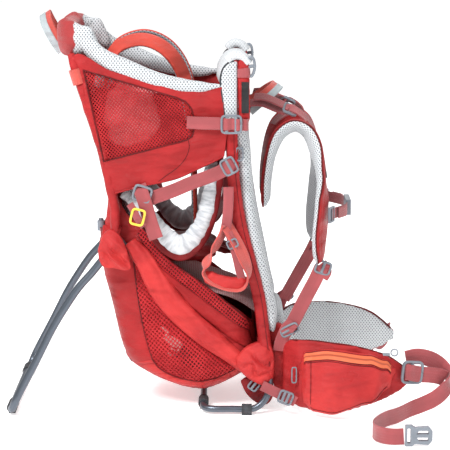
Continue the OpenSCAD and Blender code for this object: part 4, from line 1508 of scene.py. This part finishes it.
def make_waist_straps():
    """Waist webbing: round the open belt's end on the right, and short on the left."""
    route = [(322, 142, 104), (340, 138, 107), (358, 135, 104), (374, 133, 97), (388, 133, 86),
             (397, 138, 76), (400, 146, 67), (396, 154, 57), (386, 159, 46), (371, 162, 35),
             (351, 164, 26), (328, 171, 19), (305, 194, 16), (281, 217, 16), (263, 245, 16),
             (254, 271, 16), (257, 293, 16), (270, 308, 16), (286, 313, 16), (302, 314, 17)]
    tail = [(318, 163, 86), (326, 168, 86), (338, 162, 82), (349, 157, 79), (366, 153, 77),
            (382, 148, 73), (392, 145, 68)]
    look = web_look(0.029)
    made = [strap("t", mm(line, -1), 0.029, 0.0026, look, Z_AXIS) for line in (route, tail)]
    fit(joined("waist_webs_right", made), "hip_right", "webbing", "waist_strap_right")
    left = [(322, 160, 78), (314, 169, 74), (311, 171, 60), (301, 175, 42), (282, 178, 27),
            (258, 180, 20), (204, 180, 19)]
    across = [Vector((a, 0, b)) for a, b in ((0.5, 0.85), (0.8, 0.6), (1, 0.2), (0.9, 0.5), (0.6, 0.8),
                                             (0.1, 1), (0, 1))]
    made = strap("waist_web_left", mm(left), 0.029, 0.0026, look, across)
    fit(made, "hip_left", "webbing", "waist_strap_left")


# ---------- Storage bag ----------

BAG_LOW = [(-206, 386), (-211, 345), (-217, 305), (-220, 270), (-214, 240), (-206, 210),
           (-199, 180), (-193, 151), (-185, 118), (-176, 92), (-166, 80), (-140, 63), (-117, 51),
           (-92, 41), (-68, 34), (-40, 31), (-18, 37), (0, 45), (22, 57), (40, 70), (51, 84),
           (56, 100), (55, 122), (51, 145), (49, 160)]
BAG_TOP = [(-206, 386), (-193, 389), (-181, 372), (-166, 352), (-152, 343), (-125, 309),
           (-97, 276), (-44, 238), (5, 200), (30, 180), (49, 160)]


def bag_y(x, z):
    """Distance of the bag's side from the middle plane, with its folds."""
    rise = 1 - min(off_line(x, z, BAG_LOW)[0] / 46, 1)
    slant, stray = Vector((x + z, 0, z - x)) / 46, Vector((x, 5, z)) / 16
    crease = 2.6 * noise.noise(slant) + 1.2 * noise.noise(stray)
    return 70 + 38 * math.sqrt(max(1 - rise ** 2.4, 0)) + crease * (1 - rise)


def on_bag(line, side, proud):
    """Side-view points laid on the bag's side, as a smooth line in metres."""
    return mm([(p.x, bag_y(p.x, p.y) + proud, p.y) for p in side_spline(line, 8)], side)


def make_bag():
    """Storage bag with its side pockets and the sleeves above them."""
    outline, rim = (spaced(side_spline(line, 6), 130) for line in (BAG_LOW, BAG_TOP))
    rows = []
    for i, p in enumerate(outline):
        high = rim[i]
        row = []
        for k in range(30, -1, -1):
            t = (k / 30) ** 1.5
            q = p.lerp(high, t)
            row.append((q.x, bag_y(q.x, q.y), q.y))
        gusset = []
        for k in range(1, 18):
            y = 70 - 140 * k / 18
            swell = 2.2 * noise.noise(Vector((p.x / 30, y / 30, p.y / 30)))
            out = Vector((p.x + 75, p.y - 160, 0)).normalized() * swell
            gusset.append((p.x + out.x, y, max(p.y + out.y, 27)))
        rows.append(mm(row + gusset + [(x, -y, z) for x, y, z in reversed(row)]))
    bag = grid("storage_bag_cloth", rows, [red_cloth], sharp=ROUND)
    solid(bag, CLOTH_THICK, 1.0)
    fit(cut_sheet(bag), "frame", "red_fabric", "storage_bag")
    for side, name in SIDES:
        make_bag_pocket(side, name)
        make_seat_sleeve(side, name)


def band_edges(lower, upper):
    """The four edges of a band between two side-view curves."""
    return lower, upper, [lower[0], upper[0]], [lower[-1], upper[-1]]


def laid_patch(name, edges, side, look, proud, swell=0.0, size=(60, 40), folds=None):
    """Cloth laid on the side of the bag between four curves, with a bulge and folds."""
    rows = []
    grid_rows = patch(*edges, *size)
    for i, row in enumerate(grid_rows):
        t = i / (len(grid_rows) - 1)
        made = []
        for j, (x, z) in enumerate(row):
            s = j / (len(row) - 1)
            bulge = swell * math.sin(math.pi * s) ** 0.6 * math.sin(math.pi * t) ** 0.6
            extra = folds(s, t) if folds else 0
            made.append((x, bag_y(x, z) + proud + bulge + extra, z))
        rows.append(mm(made, side))
    return grid(name, rows, [look])


def make_bag_pocket(side, name):
    """Net pocket on the bag's side, with its lining, gathered hem and pipings."""
    low = [(-170, 84), (-140, 66), (-117, 54), (-92, 44), (-68, 38), (-40, 35), (-7, 44), (25, 61)]
    hem_top = [(-130, 92), (-119, 77), (-103, 66), (-84, 58), (-60, 53), (-40, 52), (-10, 60), (22, 76)]
    top = [(-163, 280), (-132, 221), (-93, 170), (-44, 123), (14, 84), (34, 72)]
    rear = [(-130, 92), (-141, 130), (-148, 162), (-156, 215), (-163, 280)]
    front = [(22, 76), (28, 75), (34, 72)]
    # The backing's pale patch is painted light that shows through the net
    backing = laid_patch(f"bag_pocket_lining_{name}", (hem_top, top, rear, front), side, pocket_backing_painted_light,
                         1.5, 1.0, (50, 36))
    fit(cut_sheet(backing), "frame", "coral_fabric")
    net = laid_patch(f"bag_pocket_net_{name}", (hem_top, top, rear, front), side, bag_netting,
                     3.0, 9.0, (70, 50), lambda s, t: 1.5 * noise.noise(Vector((s * 5, t * 5, side))))
    fit(cut_sheet(net), "frame", "red_fabric")
    edges = (low, hem_top, [(-170, 84), (-150, 88), (-130, 92)], [(25, 61), (24, 69), (22, 76)])

    def gathers(s, _):
        return 0.9 * math.sin(s * 60 + 4 * noise.noise(Vector((s * 9, 0, 0))))

    hem = laid_patch(f"bag_hem_{name}", edges, side, coral_red, 2.0, 2.5, (70, 12), gathers)
    solid(hem, LIGHT_THICK)
    fit(cut_sheet(hem), "frame", "coral_fabric")
    trims = [tube("t", on_bag(rear, side, 2.6), 1.6 * MM, pipe_cloth, 8),
             tube("t", on_bag(hem_top, side, 4.2), 1.1 * MM, pipe_cloth, 8)]
    fit(joined(f"bag_pocket_trim_{name}", trims), "frame", "red_fabric")


def make_seat_sleeve(side, name):
    """Folded fabric sleeve over the diagonal seat tube, and the mesh strip above it."""
    line = [(-168, 312), (-158, 298), (-141, 274), (-125, 243), (-102, 208), (-70, 172), (-30, 137),
            (10, 105), (42, 80), (66, 68)]
    path = side_line(line, 117, 110, side)

    def section(share):
        wide = value_at([(0, 12), (0.1, 17), (0.35, 22), (0.6, 21), (0.85, 15), (1, 9)], share)
        made = []
        for a, b in oval(wide, 10.5, 34, 2.3):
            fold = 1.9 * math.sin(a / 2.9 + 5 * share + 2.2 * noise.noise(Vector((share * 7, 0, side))))
            if abs(a) < wide * 0.85:
                b += fold if b > 0 else -fold
            made.append((a * MM, b * MM))
        return made

    sleeve = closed(f"seat_sleeve_{name}", sweep(path, section, Vector((0.77, 0, 0.64))),
                    coral_red, ROUND)
    fit(sleeve, "frame", "red_fabric")
    upper = [(-150, 341), (-125, 308), (-97, 275), (-44, 237), (5, 199), (48, 158)]
    lower = [(-155, 326), (-135, 294), (-111, 262), (-60, 222), (-8, 182), (44, 144)]
    edges = band_edges(lower, upper)
    strip = laid_patch(f"bag_mesh_strip_{name}", edges, side, strip_netting, 7.5, 3.0, (60, 8))
    behind = laid_patch(f"bag_strip_backing_{name}", edges, side, pipe_cloth, 5.0, 2.0, (60, 8))
    fit(cut_sheet(behind), "frame", "red_fabric")
    fit(cut_sheet(strip), "frame", "red_fabric")
    trims = [tube("t", on_bag(curve, side, 6.0), 1.4 * MM, pipe_cloth, 8) for curve in (upper, lower)]
    fit(joined(f"bag_strip_trim_{name}", trims), "frame", "red_fabric")
    panel_low = [(-132, 283), (-103, 240), (-70, 200), (-30, 165), (10, 134), (56, 104)]
    panel = laid_patch(f"bag_side_panel_{name}", band_edges(panel_low, lower), side, red_cloth_uv,
                       4.0, 5.0, (60, 24),
                       lambda s, t: 1.6 * noise.noise(Vector((s * 6, t * 3, side * 2))))
    solid(panel, LIGHT_THICK)
    fit(cut_sheet(panel), "frame", "red_fabric")


def make_rear_pouch():
    """Roll of cloth behind the seat with its side flaps and drawcord, and the bag's top net."""
    outline = [(-219, 333), (-224, 302), (-219, 278), (-205, 266), (-186, 268), (-170, 276),
               (-171, 300), (-180, 322), (-198, 335)]
    ring = outline_ring(outline, 4)
    centre = Vector((-197, 0, 300))
    rows = []
    for k in range(61):
        y = -108 + 216 * k / 60
        size = value_at([(-108, 0.25), (-105, 0.6), (-96, 0.92), (-80, 1), (80, 1), (96, 0.92),
                         (105, 0.6), (108, 0.25)], y)
        row = []
        for p in ring:
            spot = centre + (p - centre) * size + Y_AXIS * y
            fold = 3.2 * noise.noise(Vector((p.x + p.z, y * 0.6, p.z)) / 15) \
                + 1.8 * noise.noise(Vector((p.x, y, p.z)) / 7)
            spot += (p - centre).normalized() * fold
            spot.x += max(0, 30 - (spot - Vector((-226, -50, 334))).length)
            row.append(spot * MM)
        rows.append(row)
    pouch = closed("rear_pouch", rows, red_cloth, ROUND)
    softer(pouch)
    fit(pouch, "frame", "red_fabric")
    flap = [(-224, 302), (-222, 284), (-214, 270), (-196, 268), (-178, 264), (-166, 268), (-170, 288),
            (-177, 311), (-188, 331), (-201, 338), (-215, 327)]
    for side, name in SIDES:
        cover = soft_patch(f"rear_pouch_side_{name}", flap, side, 139.5, 6, coral_red, 6.5, 12)
        fit(cut_sheet(cover), "frame", "red_fabric")
    lock = Vector((-224, -50, 330))
    cords = []
    for line in (((2, -32, -40), (5, -28, -29), (2, -21, -18), (1, -14, -10), (0, -8, -6)),
                 ((0, 8, -6), (1, 14, -10), (2, 21, -18), (5, 28, -29), (2, 32, -40))):
        route = [(lock + Vector(p)) * MM for p in line]
        cords.append(tube("t", smooth_line(route, 30), 1.6 * MM, cord_look, 10))
    fit(joined("drawcord_cover", cords), "frame", "cord", "drawcord")
    rows = []
    for x, z in ((-172, 246), (-140, 243), (-97, 240), (-60, 232), (-20, 216), (8, 208), (34, 196),
                 (58, 176)):
        rows.append(mm([(x, y, z - 5 * math.cos(y / 66)) for y in range(-102, 103, 6)]))
    # The net's pale dots are painted light
    top_net = softer(grid("bag_top_mesh", rows, [bag_top_net_painted_light]), 2)
    fit(cut_sheet(top_net), "frame", "air_mesh")


# ---------- Leg openings, straps and stirrups ----------

def make_leg_cuff(side, name):
    """Gathered cuff round a leg opening, with its dark border."""
    centre = [(-181, 112, 398), (-160, 114, 384), (-138, 117, 362), (-119, 119, 338), (-99, 120, 316),
              (-78, 121, 305), (-57, 121, 318), (-38, 121, 350), (-28, 120, 390), (-24, 119, 428)]
    path = smooth_line(mm(centre, side), 170)

    def section(share):
        wide = value_at([(0, 8), (0.12, 12), (0.3, 15), (0.5, 19), (0.75, 15), (1, 11)], share)
        pleat = 1 + 0.07 * math.sin(share * 120 + 6 * noise.noise(Vector((share * 9, 0, side))))
        return rippled(oval(wide * MM, 9 * pleat * MM, 28, 2.2), 0.15, 6, share * 30, side * 5)

    def radial(line):
        return [Vector((p.x + 0.080, 0, p.z - 0.400)).normalized() for p in line]

    cuff = closed(f"leg_cuff_{name}_soft", sweep(path, section, radial(path)), lining, ROUND)
    fit(cuff, "frame", "air_mesh", f"leg_cuff_{name}")
    border = [(-128, 121, 322), (-108, 123, 298), (-80, 124, 284), (-54, 124, 296), (-34, 124, 322),
              (-21, 123, 356), (-12, 122, 400), (-8, 122, 432)]
    border = smooth_line(mm(border, side), 90)
    rows = sweep(border, oval(6 * MM, 4 * MM, 18, 2.5), radial(border))
    fit(closed(f"leg_cuff_border_{name}", rows, dark_cloth, ROUND), "frame", "red_fabric")


# Paths of the webbings on a cockpit wall, with their width and thickness
ACROSS_WEBS = (
    ([(-66, 145.5, 528), (-40, 147, 527), (-8, 147, 526)], 0.022, 0.0024),
    ([(30, 146, 524), (37, 144, 523), (40, 136, 523), (36, 128, 523)], 0.020, 0.0022),
    ([(-6, 146, 526), (3, 151, 525), (12, 147, 525), (22, 150, 524), (30, 146, 524)], 0.021, 0.0022))
ENTRY_WEB = [(16, 146, 459), (6, 149, 452), (-10, 148, 441), (-38, 149, 430), (-62, 148.5, 421),
             (-90, 149, 409), (-118, 148, 399), (-130, 146, 394)]
ENTRY_TAIL = [(-150, 147, 418), (-147, 153, 411), (-143, 155, 400), (-138, 154, 384),
              (-133, 153, 364), (-127, 152, 344), (-120, 151, 324)]


def make_side_webs():
    """Side compression straps and side-entry straps of both walls."""
    look = web_look(0.024)
    across, entry = [], []
    for side, _ in SIDES:
        up = Z_AXIS * side
        across += [strap("t", mm(path, side), width, thick, look, up)
                   for path, width, thick in ACROSS_WEBS]
        entry += [strap("t", mm(ENTRY_WEB, side), 0.024, 0.0024, look, up),
                  strap("t", mm(ENTRY_TAIL, side), 0.025, 0.0024, look, Vector((0.94, 0, 0.33)))]
    fit(joined("side_webs", across), "frame", "webbing", "side_straps")
    fit(joined("entry_webs", entry), "frame", "webbing", "entry_straps")


def make_stirrup(side, name):
    """Foot stirrup: its loop of webbing, sole, upper webbing and slider."""
    body = "stirrup_r" if side < 0 else "stirrup_l"
    # The left stirrup is a shaded copy of the right one: its deep red webbing is painted shade
    look = coral_web if side < 0 else web_look(0.026, DEEP_RED)
    loop = [(4, 148, 345), (20, 150, 318), (33, 152, 290), (42, 153, 264), (38, 153, 247),
            (24, 152, 239), (2, 152, 241), (-20, 152, 250), (-34, 152, 262), (-37, 152, 273),
            (-29, 151, 287), (-18, 149, 306), (-6, 148, 328), (2, 148, 346)]
    upright, bend, sole_lean = (Vector((x, -y * side, z)) for x, y, z in (
        (0.62, 0.72, 0.3), (0.25, 0.86, 0.45), (0, 0.80, 0.60)))
    lean = [upright] * 3 + [bend] * 2 + [sole_lean] * 6 + [upright] * 3
    tail = [(6, 153, 336), (14, 155, 312), (20, 156, 290), (25, 157, 268), (30, 156, 252)]
    upper = [(0, 148, 338), (3, 148.6, 352), (5, 147, 372), (6, 143.5, 392), (6, 142, 414)]
    webs = [strap("t", mm(loop, side), 0.026, 0.0032, look, lean),
            strap("t", mm(tail, side), 0.014, 0.0024, web_look(0.014), Vector((0.92, 0, 0.4))),
            strap("t", mm(upper, side), 0.018, 0.0024, web_look(0.018), X_AXIS * side)]
    sole = smooth_line(mm([(-36, 151, 262), (-22, 152, 252), (0, 153, 245), (24, 153, 244),
                           (40, 152, 252)], side), 50)

    def section(share):
        size = value_at([(0, 0.45), (0.12, 0.95), (0.5, 1), (0.88, 0.95), (1, 0.45)], share)
        return rippled(oval(12.5 * size * MM, 7 * size * MM, 26, 2.4), 0.10, 4, share * 9, side)

    # Deep red sole on the left stirrup: painted shade; the right one is coral
    sole_look = coral_red if side < 0 else dark_cloth
    webs.append(closed("t", sweep(sole, section, Vector((0.1, 0, 1))), sole_look, ROUND))
    webs += slider((13, 157 * side, 316), (0.9, 0, 0.42), (-0.42, 0, 0.9), 9, 7, (0,), 1.5)
    fit(joined(f"stirrup_{name}_webs", webs), body, "coral_fabric", f"stirrup_{name}")


def make_pull_ring():
    """Rounded rectangular ring, tilted, with the webbing that passes through it."""
    line = oval(11, 13.5, 40, 5)
    turn = math.radians(14)
    centre = Vector((-152, -160, 364))
    path = []
    for a, b in line + line[:1]:
        path.append((centre + X_AXIS * (a * math.cos(turn) + b * math.sin(turn))
                     + Z_AXIS * (b * math.cos(turn) - a * math.sin(turn))) * MM)
    rows = sweep(path, oval(1.6 * MM, 2.1 * MM, 12, 3), Y_AXIS)
    rows[-1] = rows[0]
    ring = closed("pull_ring_moulded", rows, yellow_plastic, ROUND)
    fit(ring, "frame", "ring_plastic", "pull_ring")
    web = strap("pull_ring_web", mm([(-166, 152, 386), (-158, 158, 374), (-153, 163, 364),
                                     (-147, 158, 354), (-142, 152, 346)], -1), 0.013, 0.0022,
                web_look(0.013), Vector((0.8, 0, 0.6)))
    fit(web, "frame", "webbing")


# ---------- The child's seat ----------

def make_seat():
    """Seat cushion, seat back and the child's shoulder straps with their chest clip."""
    rows = []
    for k in range(41):
        y = -88 + 176 * k / 40
        size = value_at([(-88, 0.5), (-84, 0.8), (-74, 1), (74, 1), (84, 0.8), (88, 0.5)], y)
        rows.append([Vector((-85 + a * size, y, 280 + b * size)) * MM for a, b in oval(73, 10, 44, 3)])
    pad("seat_cushion_soft", rows, [dark_cloth], "seat", "red_fabric", ["seat_cushion"], cap=5)
    line = [(x + 21, z) for x, z in REAR_EDGE if z < 605]
    path = side_line(line, 0, 60)

    def section(share):
        ends = value_at([(0, 0.5), (0.04, 1), (0.96, 1), (1, 0.5)], share)
        return oval(78 * ends * MM, 6 * ends * MM, 40, 3)

    pad("seat_back_soft", sweep(path, section, Y_AXIS), [grey_mesh], "seat", "air_mesh",
        ["seat_back"], cap=5)
    for side, name in SIDES:
        route = [(-211, 52, 572), (-208, 54, 618), (-190, 55, 650), (-150, 56, 664), (-112, 56, 652),
                 (-84, 55, 622), (-68, 54, 580), (-60, 52, 520), (-56, 50, 430), (-55, 48, 300)]
        path = smooth_line(mm(route, side), 120)
        count = 28

        def arch(share):
            half = value_at([(0, 18), (0.55, 18), (0.75, 15), (1, 10)], share)
            lean = value_at([(0, 0), (0.12, 30), (0.5, 36), (0.62, 10), (1, 0)], share)
            points = flat_pad(count, half * MM, (3.6 * MM, 5 * MM), (0.5, 0.6))
            return turned(points, -side * lean)

        made = grid(f"child_strap_{name}", sweep(path, arch, Y_AXIS), [coral_cloth, grey_mesh_uv],
                    around=True, capped=True, look_of=lambda i, j: 0 if j < count // 2 else 1,
                    sharp=ROUND)
        softer(made)
        fit(made, "seat", "coral_fabric", *once(side, "child_harness"))
        webs = [strap("t", mm([(-58, 50, 516), (-59, 30, 516), (-60, 6, 516)], side), 0.020, 0.0024,
                      web_look(0.02), Z_AXIS)]
        clip = sweep(mm([(-64, 30, 516), (-65, 12, 516), (-65, 0, 516)], side),
                     oval(11 * MM, 4 * MM, 20, 4), Z_AXIS)
        webs.append(closed("t", clip, buckle_plastic))
        fit(joined(f"child_chest_clip_{name}", webs), "seat", "buckle")


make_back()
make_frame_sleeves()
make_handles()
make_harness()
for fin_side, fin_name in SIDES:
    make_hip_fin(fin_side, fin_name)
make_hip_pocket()
make_waist_straps()
make_bag()
make_rear_pouch()
for cuff_side, cuff_name in SIDES:
    make_leg_cuff(cuff_side, cuff_name)
    make_stirrup(cuff_side, cuff_name)
make_side_webs()
make_pull_ring()
make_seat()
make_sliders()
make_belt_root()
for cad_node in ("sternum_hardware", "waist_buckle_male", "waist_buckle_female", "zip_puller"):
    finish_cad(cad_node, buckle_plastic)

swell_pads()
